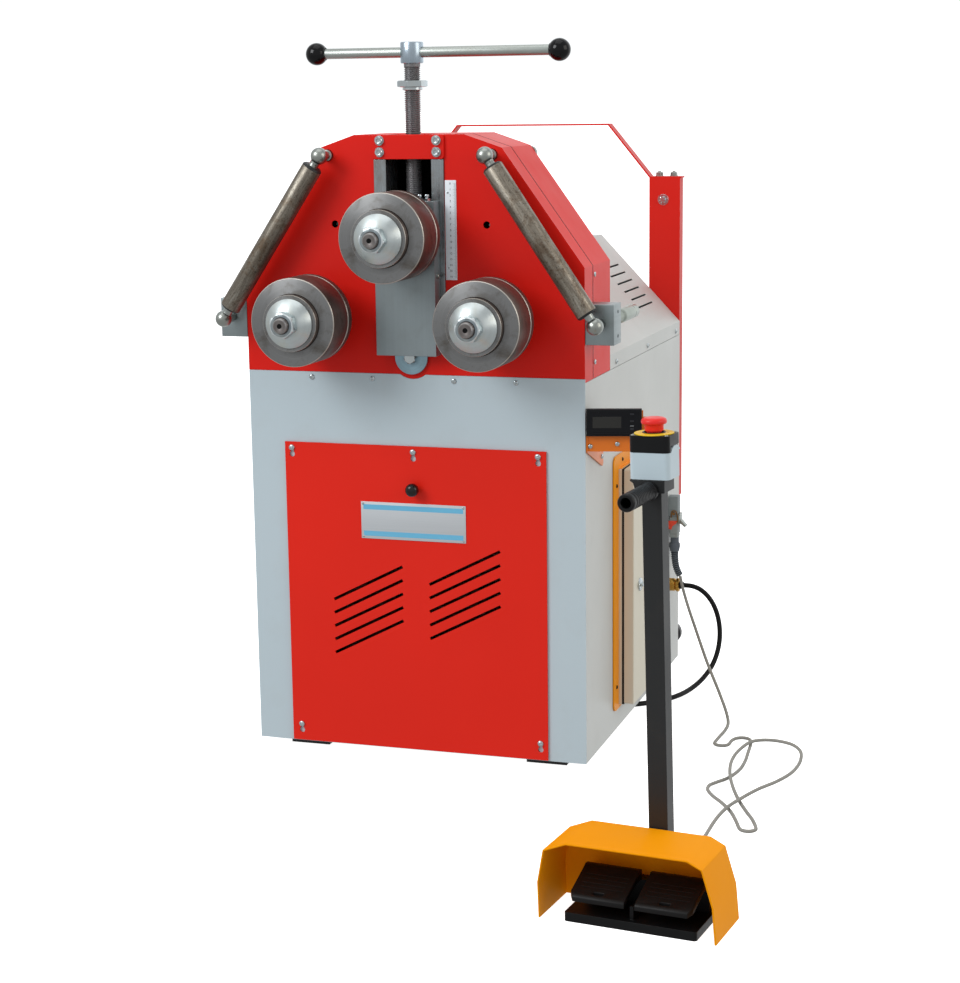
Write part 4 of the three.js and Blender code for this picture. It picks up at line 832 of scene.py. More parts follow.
make_roll("upper", *ROLLS["upper"], 8)
make_roll("left", *ROLLS["left"], 22)
make_roll("right", *ROLLS["right"], 4)

# centre shaft end: washer and hexagon screw
t = at(0, 0, 721.6) @ Y_AXIS
piece("drive_washer", move(lathe([(0, -1.9), (29.6, -1.9), (30.3, -2.6), (30.3, -7.0), (29.6, -7.8), (0, -7.8)], 96), t), WASHER, "drive", origin=(0, 0, 721.6))
bolt = lathe([(0, -7.6), (9.7, -7.6, "h"), (9.7, -15.0, "m", 11.0), (9.2, -16.2, "m", 9.2), (0, -16.2)], 96)
piece("drive_washer_bolt", move(bolt, t @ Matrix.Rotation(0.5, 4, "Z")), ZINC, "drive", origin=(0, 0, 721.6))

# ------------------------------------------------------------------ feed screw, stop nut, hub and bar
SCREW_Y = 26.0
screw = thread(14.2, 2.1, 3.5, 978.0, 1222.0, 48, 8)
tip = lathe([(0, 976.0), (11.4, 976.0), (12.3, 978.2), (0, 978.2)], 48)
neck = lathe([(0, 1221.0), (12.4, 1221.0), (13.9, 1222.5), (14.2, 1224.0), (14.2, 1229.2), (0, 1229.2)], 64)
piece("feed_screw_thread", move(together(screw, tip, neck), at(0, SCREW_Y, 0)), SCREW_STEEL, "screw", origin=(0, SCREW_Y, 1100), smooth=75, replaces=("feed_screw",))
washer = lathe([(14.3, 1183.2), (16.8, 1183.2), (17.4, 1183.8), (17.4, 1187.9), (14.3, 1187.9)], 96)
stop = lathe([(14.3, 1188.0), (22.0, 1188.3), (23.0, 1189.2, "m", 25.6), (23.0, 1190.2, "m", 26.4), (23.0, 1198.2, "m", 26.4), (23.0, 1199.4, "m", 24.6), (22.0, 1200.0), (15.2, 1200.0)], 144)
stop.transform(Matrix.Rotation(0.42, 4, "Z"))
piece("feed_stop_nut", move(together(washer, stop), at(0, SCREW_Y, 0)), ZINC, "screw", origin=(0, SCREW_Y, 1192), smooth=28)
hub = lathe([(0, 1228.6), (18.2, 1228.6), (19.4, 1229.4), (20.0, 1230.8), (20.0, 1263.0), (19.3, 1264.4), (18.2, 1265.0), (7.0, 1265.0), (6.2, 1264.4), (0, 1264.4)], 96)
hole = move(lathe([(0, -40), (9.35, -40), (9.35, 40), (0, 40)], 64), at(0, 0, 1247.3) @ Matrix.Rotation(math.radians(90), 4, "Y"))
piece("feed_hub", move(carve(hub, hole), at(0, SCREW_Y, 0)), HUB_STEEL, "screw", origin=(0, SCREW_Y, 1247), smooth=30)
X_AXIS = Matrix.Rotation(math.radians(90), 4, "Y")
XL, XR = 44 - 220.5, 44 + 220.5
rod = lathe([(0, XL + 2), (8.6, XL + 2), (9.0, XL + 3), (9.0, XR - 3), (8.6, XR - 2), (0, XR - 2)], 64)
piece("feed_bar", move(rod, at(0, SCREW_Y, 1247.3) @ X_AXIS), BAR_STEEL, "bar", origin=(44, SCREW_Y, 1247.3), replaces=("tommy_bar",))
for tag, x, s in (("left", XL, 1), ("right", XR, -1)):
    prof = []
    for k in range(25):
        a = math.pi * k / 24
        r, tt = 19.3 * math.sin(a), -19.3 * math.cos(a)
        if tt > 15.6:
            break
        prof.append((r, tt))
    prof += [(11.6, 15.6), (11.2, 16.6), (9.35, 16.6), (9.35, 1.0), (0, 1.0)]
    b = lathe(prof, 72)
    q = at(x, SCREW_Y, 1247.3) @ (X_AXIS if s > 0 else Matrix.Rotation(math.radians(-90), 4, "Y"))
    piece("feed_ball_" + tag, move(b, q), BALL_BLACK, "bar", origin=(x, SCREW_Y, 1247.3), smooth=40, replaces=("tommy_ball_" + tag,))

# ------------------------------------------------------------------ inclined rods, ball joints and side blocks
for s, side in ((1, "right"), (-1, "left")):
    T = Vector((s * 150.7, -40.0, 1073.0))
    L = Vector((s * 342.3, -40.0, 786.5))
    d = (L - T).normalized()
    a, b = T + d * 21, L - d * 22
    n = (b - a).length
    tube = lathe([(8.7, 0), (13.8, 0), (15.2, 0.3), (17.6, 2.6), (18.2, 3.8), (18.2, n - 3.8), (17.6, n - 2.6), (15.2, n - 0.3), (13.8, n), (8.7, n)], 96, [1, 1, 1, 1, 0, 1, 1, 1, 1, 1])
    tm = facing(*a, d)
    piece("rod_tube_" + side, move(tube, tm), [ROD_STEEL if s > 0 else ROD_STEEL_DARK, BLACK_PAINT], "rod_" + side, origin=tuple(a), turn=tm.to_3x3().to_4x4(), smooth=40, replaces=("tie_rod_" + side,))
    # upper joint on the machine's frame: ball, neck to the tube and pin into the frame
    top = together(
        move(ball(14.9), at(*T)),
        move(lathe([(0, 9), (9.2, 9), (8.0, 15.5), (8.35, 17), (8.35, 38.3), (0, 38.3)], 48), facing(*T, d)),
        move(lathe([(0, 10), (8.4, 10), (7.6, 13), (7.6, 33), (9.6, 34), (9.6, 71), (0, 71)], 48), facing(*T, (0, 1, 0))),
    )
    piece("rod_joint_upper_" + side, top, ZINC_DULL, "machine", origin=tuple(T), smooth=40)
    x0, x1 = (314.6, 365.4) if s > 0 else (-365.4, -314.6)
    blk = box(x0, x1, -0.3, 50, 750, 820, 1.3, 3)
    hole = move(lathe([(0, -6), (9.6, -6), (9.6, 2.2), (0, 2.2)], 48), facing(L.x, 0, L.z, (0, 1, 0)))
    side_holes = [move(lathe([(0, -2), (3.4, -2), (3.4, 9), (0, 9)], 24), facing(x1 if s > 0 else x0, 28, zz, (-s, 0, 0))) for zz in (764, 806)]
    blk = carve(blk, hole, *side_holes)
    piece("side_block_" + side, blk, BLOCK_STEEL, "machine", origin=(L.x, 25, 785), smooth=30, replaces=("guide_block_" + side,))
    pin = lathe([(0, 49), (9, 49), (9, 131), (10, 132.5), (12.0, 136.5), (12.5, 138.2), (12.5, 206), (11.9, 206.6), (11.9, 208.4), (12.5, 209), (12.5, 231), (11.9, 233.6), (10.5, 237.2), (7.5, 240), (5.5, 241), (0, 241)], 72)
    piece("guide_pin_" + side, move(pin, facing(L.x, 0, L.z, (0, 1, 0))), GUIDE_STEEL, "machine", origin=(L.x, 140, L.z), smooth=35)
    low = together(
        move(ball(14.9), at(*L)),
        move(lathe([(0, 9), (9.2, 9), (8.0, 15.5), (8.35, 17), (8.35, 38.3), (0, 38.3)], 48), facing(*L, -d)),
        move(lathe([(0, 10), (8.4, 10), (7.6, 13), (7.6, 45), (0, 45)], 48), facing(*L, (0, 1, 0))),
    )
    piece("rod_joint_lower_" + side, low, ZINC_DULL, "machine", origin=tuple(L), smooth=40)
    # bolt in the hole above the roll, with a black disc behind it: painted shade in the hole
    fix("shield_hole_bolt_" + side, hex_bolt(6.4, 4.0, 0), s * 141.5, 22.0, 952.5, (0, -1, 0), ZINC_DULL, "machine", spin=12)
    fix("shield_hole_painted_shade_" + side, lathe([(0, -0.5), (11, -0.5), (11, 1), (0, 1)], 40), s * 140, 27.0, 953.5, (0, -1, 0), HOLE_PAINTED_SHADE, "machine")

# ------------------------------------------------------------------ front details
for k, (x, z) in enumerate([(-233, 552), (-1, 552), (230, 553), (-229, 33), (231, 33)]):
    fix(f"panel_screw_{k}", pan_screw(5.6, 3.4), x, -4.7, z, (0, -1, 0), ZINC, "machine", spin=20 + 37 * k)
for k, x in enumerate((-192, -76, 76, 190)):
    fix(f"front_screw_{k}", pan_screw(5.0, 2.8), x, -0.1, 681, (0, -1, 0), ZINC, "machine", spin=11 + 53 * k)
for k, (x, z) in enumerate([(-52, 1098), (52, 1098), (-52, 1078), (52, 1078)]):
    fix(f"top_bar_screw_{k}", together(lathe([(0, -0.3), (8.6, -0.3), (8.6, 1.2), (8.2, 1.5), (0, 1.5)], 48), move(cap_screw(7.0, 5.6, 3.0), at(0, 0, 1.0))), x, -5.1, z, (0, -1, 0), ZINC, "machine", spin=17 * k)
knob = lathe([(0, 0), (5.0, 0), (5.0, 3.0), (4.4, 6.2), (6.8, 6.8), (9.8, 9.0), (11.6, 12.6), (12.0, 17.0), (11.2, 21.0), (8.8, 24.4), (5.0, 26.3), (0, 26.8)], 56)
piece("panel_knob_ball", move(knob, facing(1.5, -4.3, 486.5, (0, -1, 0))), KNOB_BLACK, "panel", origin=(1.5, -15, 486.5), smooth=40, replaces=("panel_knob",))

plate = prism([(-101.6, 391.5), (96.3, 391.5), (96.3, 459), (-101.6, 459)], -5.6, -4.4, "xz", 0.4, 2)
piece("blank_plate", plate, NAME_PLATE, "panel", origin=(0, -5, 425))
for k, (z0, z1) in enumerate(((396.5, 405.5), (445.0, 454.0))):
    piece(f"blank_plate_band_{k}", box(-97, 91.7, -5.85, -5.5, z0, z1, 0.08, 1), BLUE_BAND, "panel", origin=(0, -5.6, z0))
for k, (x, z) in enumerate([(-97.5, 395.5), (92.2, 395.5), (-97.5, 455), (92.2, 455)]):
    fix(f"blank_plate_rivet_{k}", rivet(2.4, 1.2), x, -5.6, z, (0, -1, 0), ZINC, "panel")

# keyhole pads behind the panel's holes stay dark: the cabinet sheet shows through

# millimetre rule beside the slide
rule = prism([(65.5, 858), (85.8, 858), (85.8, 1030), (65.5, 1030)], -1.3, -0.15, "xz", 0.25, 2)
piece("slide_rule", rule, WHITE_PLATE, "machine", origin=(75.6, -0.7, 944))
marks = []
for k in range(0, 163):
    z = 1024 - k
    w = 5.6 if k % 10 == 0 else (4.2 if k % 5 == 0 else 2.6)
    marks.append(box(85.2 - w, 85.2, -1.42, -1.25, z - 0.1, z + 0.1))
piece("slide_rule_marks", together(*marks), INK, "machine", origin=(85, -1.3, 944), smooth=20)


def numerals():
    parts = []
    for k in range(0, 17):
        cu = bpy.data.curves.new("numeral", "FONT")
        cu.body = str(k)
        cu.size = 5.0
        cu.extrude = 0.08
        cu.align_x = "CENTER"
        cu.align_y = "CENTER"
        ob = bpy.data.objects.new("numeral", cu)
        bpy.context.scene.collection.objects.link(ob)
        dg = bpy.context.evaluated_depsgraph_get()
        me = bpy.data.meshes.new_from_object(ob.evaluated_get(dg))
        bm = bmesh.new()
        bm.from_mesh(me)
        bpy.data.meshes.remove(me)
        bpy.data.objects.remove(ob)
        bpy.data.curves.remove(cu)
        bmesh.ops.remove_doubles(bm, verts=bm.verts, dist=1e-4)
        parts.append(move(bm, at(75.0, -1.36, 1024 - 10 * k) @ Matrix.Rotation(math.radians(90), 4, "X")))
    return together(*parts)


piece("slide_rule_numbers", numerals(), INK, "machine", origin=(75, -1.3, 944), smooth=20)
for k, (x, z) in enumerate([(70.5, 1009), (71.5, 879)]):
    fix(f"slide_rule_rivet_{k}", rivet(2.0, 1.0), x, -1.3, z, (0, -1, 0), ZINC, "machine")

# a black sheet behind the slide between the rails: painted shade in the hollow behind the cover
piece("cover_painted_shade_sheet", box(-150, 150, 170.8, 172.4, 880, 1092, 0.2, 1), HOLE_PAINTED_SHADE, "machine", origin=(0, 171, 990))

# ------------------------------------------------------------------ slide details
for k, x in enumerate((25.0, 38.2)):
    nip = lathe([(0, -0.6), (5.0, -0.6, "h"), (5.0, 4.4, "h"), (3.0, 5.0), (3.0, 6.6), (3.9, 7.6), (4.2, 9.4), (3.4, 11.4), (1.2, 12.2), (0, 12.2)], 48)
    fix(f"grease_nipple_{k}", nip, x, -18, 995.0, (0, 0, 1), ZINC, "slide")
for k, (y, z) in enumerate(((-18, 938), (-18, 866))):
    fix(f"slide_side_screw_{k}", cap_screw(4.6, 3.4, 2.2), 55.2, y, z, (1, 0, 0), ZINC_DULL, "slide")

# ------------------------------------------------------------------ shield and hood fasteners
for s in (-1, 1):
    tag = "right" if s > 0 else "left"
    outer = [(314.15, 686.0), (314.15, 882.05), (168.6, 1085.15), (100.85, 1108.15), (67.0, 1108.15)]
    inner = [(313.0, 686.0), (313.0, 881.6), (167.8, 1084.1), (100.6, 1106.9), (67.0, 1106.9)]
    strips = []
    for (o0, o1), (i0, i1) in zip(zip(outer, outer[1:]), zip(inner, inner[1:])):
        q = [(s * o0[0], o0[1]), (s * o1[0], o1[1]), (s * i1[0], i1[1]), (s * i0[0], i0[1])]
        strips.append(prism(q, 53.7, 56.5, "xz"))
    piece("shield_seam_" + tag, together(*strips), SEAM_RED, "machine", origin=(s * 200, 55, 1000), smooth=20)
    for k, z in enumerate((866, 713)):
        fix(f"shield_side_screw_{tag}_{k}", pan_screw(4.6, 2.6), s * 314, 66, z, (s, 0, 0), ZINC, "machine", spin=25 * k)
    for k, y in enumerate((220, 468, 718.5)):
        fix(f"hood_screw_{tag}_{k}", pan_screw(5.0, 3.2), s * 314, y, 694.5, (s, 0, 0), ZINC, "machine", spin=40 * k)
    # hoop fasteners
    for k, x in enumerate((267.5, 297.5)):
        nut = together(lathe([(0, -0.3), (8.0, -0.3), (8.0, 1.4), (0, 1.4)], 40), lathe([(0, 1.2), (6.5, 1.2, "h"), (6.5, 7.6, "m", 7.1), (6.1, 8.2, "m", 6.3), (3.4, 8.2), (3.3, 10.2), (2.6, 10.8), (0, 10.8)], 72))
        fix(f"hoop_nut_{tag}_{k}", nut, s * x, 772, 1005.8, (0, 0, 1), ZINC_DULL, "machine", spin=17 * k)
    fix(f"hoop_bolt_{tag}", hex_bolt(13.0, 7.0, 11.0), s * 278, 758.6, 959, (0, -1, 0), ZINC, "machine", spin=10)
    for k, z in enumerate((420, 640)):
        fix(f"hoop_foot_bolt_{tag}_{k}", hex_bolt(13.0, 6.5, 11.0), s * 281, 762.5, z, (0, 1, 0), ZINC_DULL, "machine", spin=22 * k)

# round nut that shows over the rear cover's edge
for s, tag in ((1, "right"), (-1, "left")):
    fix(f"cover_nut_{tag}", together(lathe([(0, -1), (11.6, -1), (12.2, 0.4), (12.2, 8.4), (11.4, 9.4), (0, 9.4)], 56)), s * 166, 177, 1071, (0, 1, 0), ZINC_DULL, "machine")

# ------------------------------------------------------------------ position display
DISPLAY = MM @ Matrix.Translation((317.2, -4.0, 0.0)) @ Matrix.Rotation(math.radians(14.0), 4, "Z")  # u along the bezel, v into it
piece("display_frame", carve(box(0.3, 95.2, -0.9, 0.9, 592.6, 639.7, 0.5, 2), box(4.5, 91.0, -4, 4, 597.5, 635.5)), BEZEL, "machine", m=DISPLAY, origin=(48, 0, 616))
piece("display_face", box(4.0, 91.5, -0.25, 1.0, 597.0, 636.0, 0.1, 1), BEZEL, "machine", m=DISPLAY, origin=(48, 0, 616))
piece("display_window", box(10.6, 60.1, -0.55, 0.4, 606.7, 626.3, 0.15, 1), LCD, "machine", m=DISPLAY, origin=(35, 0, 616))
for k, (z, w, hgt) in enumerate(((631.0, 3.4, 1.2), (618.8, 3.2, 1.3), (610.4, 3.4, 0.5), (605.0, 3.0, 1.6))):
    piece(f"display_key_{k}", box(78.5 - w, 78.5 + w, -0.75, 0.2, z - hgt, z + hgt, 0.3, 2), ZINC if k == 2 else BUTTON_GREY, "machine", m=DISPLAY, origin=(78.5, 0, z))
for k, (u, z) in enumerate(((6.6, 573.5), (53.2, 577.5))):
    fix(f"bracket_screw_{k}", pan_screw(4.4, 3.0), u, 10.1, z, (0, -1, 0), ZINC, "machine", m=DISPLAY, spin=33 * k)
fix("bracket_side_screw", pan_screw(4.6, 3.0), 317.4, 101, 540, (1, 0, 0), ZINC, "machine", spin=21)

# ------------------------------------------------------------------ enclosure: screws, rim, seal and lock
for k, (y, z) in enumerate(((254, 509), (210.5, 466), (210, 84), (400, 509), (519, 466), (519, 84))):
    fix(f"enclosure_screw_{k}", cap_screw(3.6, 1.6, 1.5), 317.6, y, z, (1, 0, 0), BOX_BLACK, "machine", spin=15 * k)


def frame_ring(y0, y1, z0, z1, w, x0, x1, r=0.3):
    outer = box(x0, x1, y0, y1, z0, z1, r, 2)
    return carve(outer, box(x0 - 5, x1 + 5, y0 + w, y1 - w, z0 + w, z1 - w))


piece("enclosure_rim", frame_ring(225.2, 506.8, 46.8, 495.3, 9.0, 317.2, 323.3), RIM_PAINT, "machine", origin=(320, 366, 272))
piece("enclosure_seal", frame_ring(225.5, 506.5, 47.1, 495.0, 6.0, 323.5, 327.6), GASKET, "door", origin=(325, 366, 272))
lock = lathe([(0, -0.4), (12.6, -0.4), (12.6, 1.2), (11.8, 2.6), (9.6, 3.3), (0, 3.4)], 56)
lobes = together(
    move(lathe([(0, 0.6), (5.4, 0.6), (5.4, 2.6), (4.6, 3.4), (0, 3.5)], 36), at(0, 10.6, 0)),
    move(lathe([(0, 0.6), (5.4, 0.6), (5.4, 2.6), (4.6, 3.4), (0, 3.5)], 36), at(0, -10.6, 0)),
)
lever = box(-2.6, 2.6, -8.6, 8.6, 2.6, 8.2, 0.9, 3)
lt = facing(345.9, 274, 268.6, (1, 0, 0))
piece("enclosure_lock", move(together(lock, lobes, lever), lt), ZINC, "lock", origin=(346, 274, 268.6), replaces=("door_lock",))
for k, z in enumerate((110.0, 430.0)):
    hinge = lathe([(0, -21), (4.2, -21), (4.6, -20.4), (4.6, 20.4), (4.2, 21), (0, 21)], 32)
    # the pins stand clear of the lid, on the body's side
    piece(f"enclosure_hinge_{k}", move(hinge, at(320.2, 510.5, z)), BEIGE, "machine", origin=(320, 511, z))

# ------------------------------------------------------------------ connector
CY = 668.0
WALL = 314.4
socket = together(box(WALL - 0.6, 334.4, CY - 12, CY + 12, 323.2, 363, 1.6, 3), box(WALL - 0.6, 335.0, CY - 12.6, CY + 12.6, 321.8, 325.0, 0.6, 2))
piece("connector_socket_body", socket, CONNECTOR, "machine", origin=(325, CY, 343), replaces=("connector_socket",))
sleeve = box(316.6, 334.6, CY - 12, CY + 12, 284.5, 321.6, 2.2, 4)
foot = box(317.2, 334.0, CY - 11.4, CY + 11.4, 276.6, 285.4, 2.6, 4)
piece("connector_plug_body", together(sleeve, foot), CONNECTOR_LIGHT, "machine", origin=(325.5, CY, 300), replaces=("connector_plug",))
parts = [move(lathe([(0, 263), (8.8, 263), (8.8, 277.4), (0, 277.4)], 48), at(325.5, CY, 0))]
parts.append(move(lathe([(0, 246.8), (8.6, 246.8), (9.4, 248.4), (10.5, 254.6), (10.8, 257.6), (10.8, 263.4), (9.8, 265.0), (0, 265.0)], 56), at(325.5, CY, 0)))
for k in range(16):
    a = 2 * math.pi * k / 16
    parts.append(move(box(10.3, 11.2, -0.7, 0.7, 255.4, 263.8, 0.3, 2), at(325.5, CY, 0) @ Matrix.Rotation(a, 4, "Z")))
piece("connector_nut", together(*parts), CONNECTOR_DARK, "machine", origin=(325.5, CY, 260))


def ringed_relief():
    """Ringed sleeve along a smooth curve from the nut to the cord; its grooves take a darker material, painted shade.
    """
    ctrl = [(325.5, CY, 249), (325.6, CY - 0.2, 241), (326.4, CY - 0.8, 231), (328.0, CY - 2.0, 221.5), (330.6, CY - 3.8, 212.6), (334.2, 662.2, 205.2), (338.7, 660.3, 198.6)]
    pts = catmull(ctrl, 0.45)
    n = len(pts)
    bm = bmesh.new()
    rings = []
    waves = []
    up = Vector((0, 1, 0))
    dist = 0.0
    total = sum((b - a).length for a, b in zip(pts, pts[1:]))
    for i, p in enumerate(pts):
        tn = (pts[min(i + 1, n - 1)] - pts[max(i - 1, 0)]).normalized()
        sd = tn.cross(up).normalized()
        u2 = sd.cross(tn).normalized()
        if i:
            dist += (p - pts[i - 1]).length
        f = dist / total
        r = 7.3 * (1 - f) + 6.6 * f
        w = math.sin(dist / 4.2 * 2 * math.pi)
        r += 0.6 * max(-1.0, min(1.0, 1.8 * w))
        waves.append(w)
        rings.append([bm.verts.new(p + sd * (r * math.cos(2 * math.pi * k / 36)) + u2 * (r * math.sin(2 * math.pi * k / 36))) for k in range(36)])
    for a, b, w in zip(rings, rings[1:], waves):
        for k in range(36):
            j = (k + 1) % 36
            # faces in the grooves take the darker material: painted shade
            bm.faces.new((a[k], a[j], b[j], b[k])).material_index = 1 if w < -0.3 else 0
    bm.faces.new(rings[0][::-1])
    bm.faces.new(rings[-1])
    bmesh.ops.recalc_face_normals(bm, faces=bm.faces)
    return bm


piece("connector_relief", ringed_relief(), [CONNECTOR_DARK, CONNECTOR_GROOVE_SHADE], "machine", origin=(328, CY, 225), smooth=40)


def wire(points, r, sides=16):
    """A round wire along a smooth curve."""
    pts = catmull(points, 0.8)
    n = len(pts)
    bm = bmesh.new()
    rings = []
    ref = Vector((0, 1, 0))
    for i, p in enumerate(pts):
        tn = (pts[min(i + 1, n - 1)] - pts[max(i - 1, 0)]).normalized()
        sd = tn.cross(ref).normalized()
        u2 = sd.cross(tn).normalized()
        rings.append([bm.verts.new(p + sd * (r * math.cos(2 * math.pi * k / sides)) + u2 * (r * math.sin(2 * math.pi * k / sides))) for k in range(sides)])
    for a, b in zip(rings, rings[1:]):
        for k in range(sides):
            j = (k + 1) % sides
            bm.faces.new((a[k], a[j], b[j], b[k]))
    bm.faces.new(rings[0][::-1])
    bm.faces.new(rings[-1])
    bmesh.ops.recalc_face_normals(bm, faces=bm.faces)
    return bm


PX, PZ = 325.6, 327.6
loops = []
for s in (-1, 1):
    yy = CY + s * 13.6
    loops.append(wire([(PX - 4.4, yy, PZ - 8), (PX - 4.6, yy, PZ - 1), (PX - 3.2, yy, PZ + 4.6), (PX + 0.8, yy, PZ + 6.6), (PX + 5.2, yy, PZ + 4.4), (PX + 7.6, yy, PZ - 2), (PX + 8.6, yy, PZ - 10), (PX + 9.4, yy, PZ - 19)], 1.15))
piece("connector_latch_wire", together(*loops), RUST_PIN, "latch", origin=(PX, CY, PZ), smooth=60)
pins = [move(lathe([(0, 11.0), (3.2, 11.0), (3.2, 14.0), (2.6, 14.6), (0, 14.7)], 32), facing(PX, CY, PZ, (0, s, 0))) for s in (-1, 1)]
piece("connector_latch_pins", together(*pins), RUST_PIN, "latch", origin=(PX, CY, PZ), smooth=40)
plate = box(335.5, 338.0, CY - 13.4, CY + 13.4, 306, 326.4, 0.5, 2)
lever = prism([(337.4, 314.5), (337.4, 307.5), (347.0, 299.6), (349.9, 300.6), (350.2, 302.6), (339.2, 314.5)], CY - 8, CY + 8, "xz", 0.5, 2)
hook = lathe([(0, -13), (1.9, -13), (1.9, 13), (0, 13)], 24)
piece("connector_latch_plate", together(plate, lever, move(hook, facing(337.4, CY, 325.2, (0, 1, 0)))), ZINC_DULL, "latch", origin=(337, CY, 316), replaces=("connector_latch",))
tag_bm = prism([(315.2, 312.5), (333.6, 313.2), (331.4, 307.4), (323.0, 301.0), (321.2, 294.4), (315.6, 295.4)], CY - 13.2, CY - 11.9, "xz", 0.3, 2)
piece("connector_tag", tag_bm, TAG, "machine", origin=(325, CY - 12, 305))

# ------------------------------------------------------------------ cable gland
GZ = 176.0
gland = together(
    lathe([(0, 0), (12.6, 0, "h"), (12.6, 2.0, "m", 13.8), (12.6, 11.4, "m", 13.8), (11.9, 12.9, "m", 12.2), (0, 12.9)], 96),
    thread(11.6, 0.8, 1.5, 12.4, 15.6, 48, 8),
    lathe([(0, 15.2), (12.2, 15.2), (13.4, 16.2, "m", 14.4), (13.4, 20.6, "m", 14.8), (12.8, 21.8, "m", 13.2), (9.6, 22.6), (0, 22.6)], 96),
)
piece("cable_gland_brass", move(gland, facing(WALL, CY, GZ, (1, 0, 0)) @ Matrix.Rotation(math.radians(8), 4, "Z")), BRASS, "machine", origin=(WALL, CY, GZ), smooth=30, replaces=("cable_gland",))
sleeve = lathe([(0, 22.2), (8.6, 22.2), (8.3, 24), (7.4, 27.5), (6.4, 30.4), (5.6, 31.6), (0, 31.6)], 48)
piece("cable_gland_sleeve", move(sleeve, facing(WALL, CY, GZ, (1, 0, 0))), RUBBER, "machine", origin=(WALL + 24, CY, GZ), smooth=40)

# ------------------------------------------------------------------ main switch on the back
sw = together(
    lathe([(0, 758.4), (8, 758.4), (8, 766.2), (23.4, 766.2), (24.2, 767.2), (24.2, 781.4), (22.6, 785.2), (20.2, 786), (0, 786)], 72),
    box(-4, 4, -20, 20, 785, 790.8, 1.6, 3),
)
piece("main_switch_knob", move(sw, at(293, 0, 46) @ Y_AXIS), KNOB_GREY, "switch", origin=(293, 770, 46), replaces=("main_switch",))

# ------------------------------------------------------------------ foot control
for s, tag in ((-1, "left"), (1, "right")):
    x0, x1 = (-94, -8) if s < 0 else (8, 94)
    out = [(-1, 33), (-1, 39), (-0.4, 40.4), (0.8, 41.6), (3, 43.4), (34, 54.2), (62, 64), (66, 66.4), (70, 67.2), (76, 66.6), (78, 65), (78, 52), (64, 50.6), (60, 53)]
    ped = prism(out, x0, x1, "yz", 0)
    ox = x0 if s < 0 else x1
    chamfer = prism([(ox - s * 8, -4), (ox + s * 4, -4), (ox + s * 4, 14), (ox, 9)], 20, 80, "xy")
    xm = (x0 + x1) / 2
    slot_cut = box(xm - 9, xm + 9, 7.0, 12.5, 24, 60, 2.4, 3)
    ped = bevel(carve(ped, chamfer, slot_cut), 1.2, 3)
    ribs = []
    for k in range(4):
        y = 22 + 9.0 * k
        z = 43.4 + (y - 3) * (20.6 / 59)
        ribs.append(box(x0 + 9, x1 - 9, y - 0.9, y + 0.9, z - 1.6, z + 0.16, 0.1, 1))
    piece("foot_pedal_" + tag, together(ped, *ribs), PEDAL_BLACK, tag + "_pedal", m=STAND, origin=(xm, 40, 50), smooth=35, replaces=("pedal_" + tag,))

grip_prof = [(7.5, 40), (7.5, 4.2), (8.4, 3.0), (11.4, 3.0), (12.6, 4.2), (13.2, 6.4), (13.2, 11.4), (12.6, 13.2), (12.2, 14.6), (12.2, 16), (12.9, 17.6)]
y = 20.0
while y < 78:
    grip_prof += [(13.2, y), (13.2, y + 3.0), (12.3, y + 3.6), (12.3, y + 5.4)]
    y += 6.0
grip_prof += [(13.0, 80), (13.0, 83.4), (12.2, 84.2), (12.2, 86.2), (13.0, 87), (13.0, 90), (12.2, 90.8), (12.2, 92.6), (13.2, 93.4), (14.2, 96.2), (14.2, 100.4), (10, 100.6), (10, 101.1), (0, 101.1), (0, 40)]
piece("grip_sleeve", move(lathe(grip_prof, 72), at(0, 0, 630) @ Y_AXIS), RUBBER, "machine", m=POST, origin=(0, 50, 630), smooth=30, replaces=("stand_grip",))
disc = lathe([(14.9, 710.1), (28.2, 710.1), (29.0, 710.4), (29.0, 711.5), (28.4, 711.9), (14.9, 711.9)], 96)
piece("stop_disc", move(disc, at(0, 127, 0)), YELLOW, "machine", m=POST, origin=(0, 127, 711))
btn = lathe([(0, 692), (11, 692), (11, 714.2), (13.6, 714.6), (13.9, 716.0), (14.2, 723.2), (14.8, 724.0), (17.8, 724.7), (18.6, 725.9), (18.8, 727.7), (18.4, 730.0), (17.4, 731.7), (15.3, 733.0), (10.4, 733.9), (0, 734.2)], 96)
piece("stop_mushroom", move(btn, at(0, 127, 0)), STOP_RED, "stop", m=POST, origin=(0, 127, 720), smooth=45, replaces=("stop_button",))
collar = lathe([(14.9, 709.5), (17.2, 709.5), (17.2, 712.4), (16.6, 713.0), (14.9, 713.0)], 64)
piece("stop_collar", move(collar, at(0, 127, 0)), BOX_BLACK, "machine", m=POST, origin=(0, 127, 711))
for k, (x, yy) in enumerate(((-25.5, 106.5), (25.5, 106.5), (-25.5, 147.5), (25.5, 147.5))):
    fix(f"box_screw_{k}", pan_screw(2.6, 1.2), x, yy, 710.0, (0, 0, 1), ZINC_DULL, "machine", m=POST, spin=31 * k)

# ------------------------------------------------------------------ floor, light and colour
floor_mesh = bpy.data.meshes.new("floor")
S = 150.0
floor_mesh.from_pydata([(-S, -S, 0), (S, -S, 0), (S, S, 0), (-S, S, 0)], [], [(0, 1, 2, 3)])
floor_mat = Mat("floor_pale", roughness=0.9)
floor_mat.color(floor_mat.ramp(floor_mat.noise(0.8, 2.0), [(0.3, (0.93, 0.93, 0.93, 1)), (0.7, (0.95, 0.95, 0.95, 1))]))
floor_mat.b.inputs["Emission Color"].default_value = (1, 1, 1, 1)
floor_mat.b.inputs["Emission Strength"].default_value = 1.0
floor_mesh.materials.append(floor_mat.m)
floor = bpy.data.objects.new("floor", floor_mesh)
bpy.context.scene.collection.objects.link(floor)
floor.visible_diffuse = False
floor.visible_glossy = False

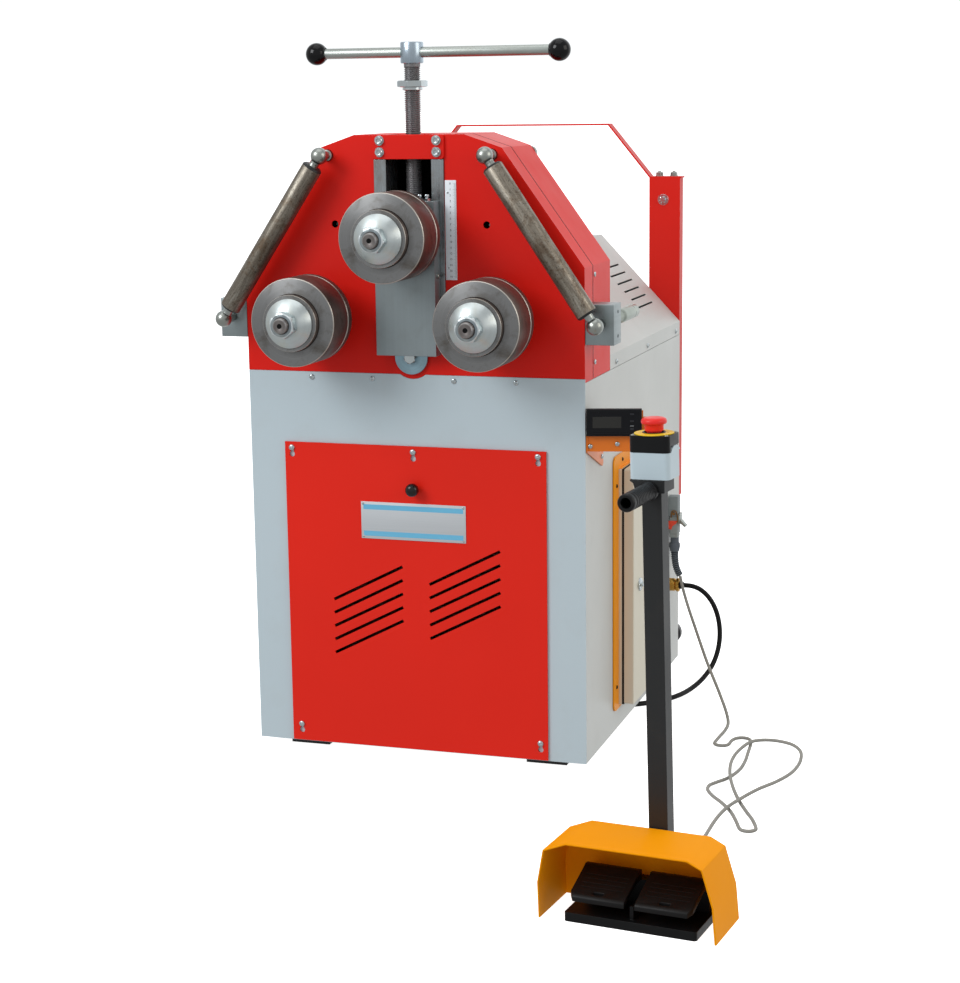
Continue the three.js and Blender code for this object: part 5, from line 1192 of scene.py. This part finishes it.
world = bpy.data.worlds.new("studio")
bpy.context.scene.world = world
world.use_nodes = True
wt = world.node_tree
wt.nodes.clear()
wo = wt.nodes.new("ShaderNodeOutputWorld")
bg = wt.nodes.new("ShaderNodeBackground")
wt.links.new(bg.outputs[0], wo.inputs[0])
tc = wt.nodes.new("ShaderNodeTexCoord")
sp = wt.nodes.new("ShaderNodeSeparateXYZ")
wt.links.new(tc.outputs["Generated"], sp.inputs[0])
# white behind the object, dimmer above and behind the camera, and dim below, where the floor's light would come from
def graded(value, a, b, lo, hi):
    n = wt.nodes.new("ShaderNodeMapRange")
    n.interpolation_type = "SMOOTHSTEP"
    n.inputs["From Min"].default_value = a
    n.inputs["From Max"].default_value = b
    n.inputs["To Min"].default_value = lo
    n.inputs["To Max"].default_value = hi
    wt.links.new(value, n.inputs[0])
    return n.outputs[0]


def combined(op, a, b):
    n = wt.nodes.new("ShaderNodeMath")
    n.operation = op
    for k, v in enumerate((a, b)):
        if isinstance(v, (int, float)):
            n.inputs[k].default_value = v
        else:
            wt.links.new(v, n.inputs[k])
    return n.outputs[0]


back = graded(sp.outputs[1], 0.3, 0.75, 0.57, 1.05)
low = graded(sp.outputs[2], -0.3, -0.02, 0.8, 1.0)
wt.links.new(combined("MULTIPLY", back, low), bg.inputs[1])
bg.inputs[0].default_value = (0.97, 0.99, 1.0, 1)


def area(name, place, target, size, power, color, size_y=None):
    d = bpy.data.lights.new(name, "AREA")
    d.shape = "RECTANGLE"
    d.size = size
    d.size_y = size_y or size
    d.energy = power
    d.color = color
    o = bpy.data.objects.new(name, d)
    bpy.context.scene.collection.objects.link(o)
    o.location = place
    o.rotation_euler = (Vector(target) - Vector(place)).to_track_quat("-Z", "Y").to_euler()
    return o


key = area("key_left", (-2.8, -3.6, 3.4), (-0.1, 0.0, 0.7), 2.4, 120, (0.96, 0.985, 1.0))
key.data.specular_factor = 0.5
area("fill_right", (4.2, -0.8, 2.4), (0.1, 0.2, 0.6), 2.6, 40, (1.0, 0.945, 0.87))
area("top_soft", (-0.2, -0.4, 4.6), (-0.1, 0.1, 0.0), 3.0, 24, (1.0, 1.0, 1.0))

vs = bpy.context.scene.view_settings
vs.view_transform = "Standard"
vs.look = "None"
vs.exposure = 0.0
vs.gamma = 1.0
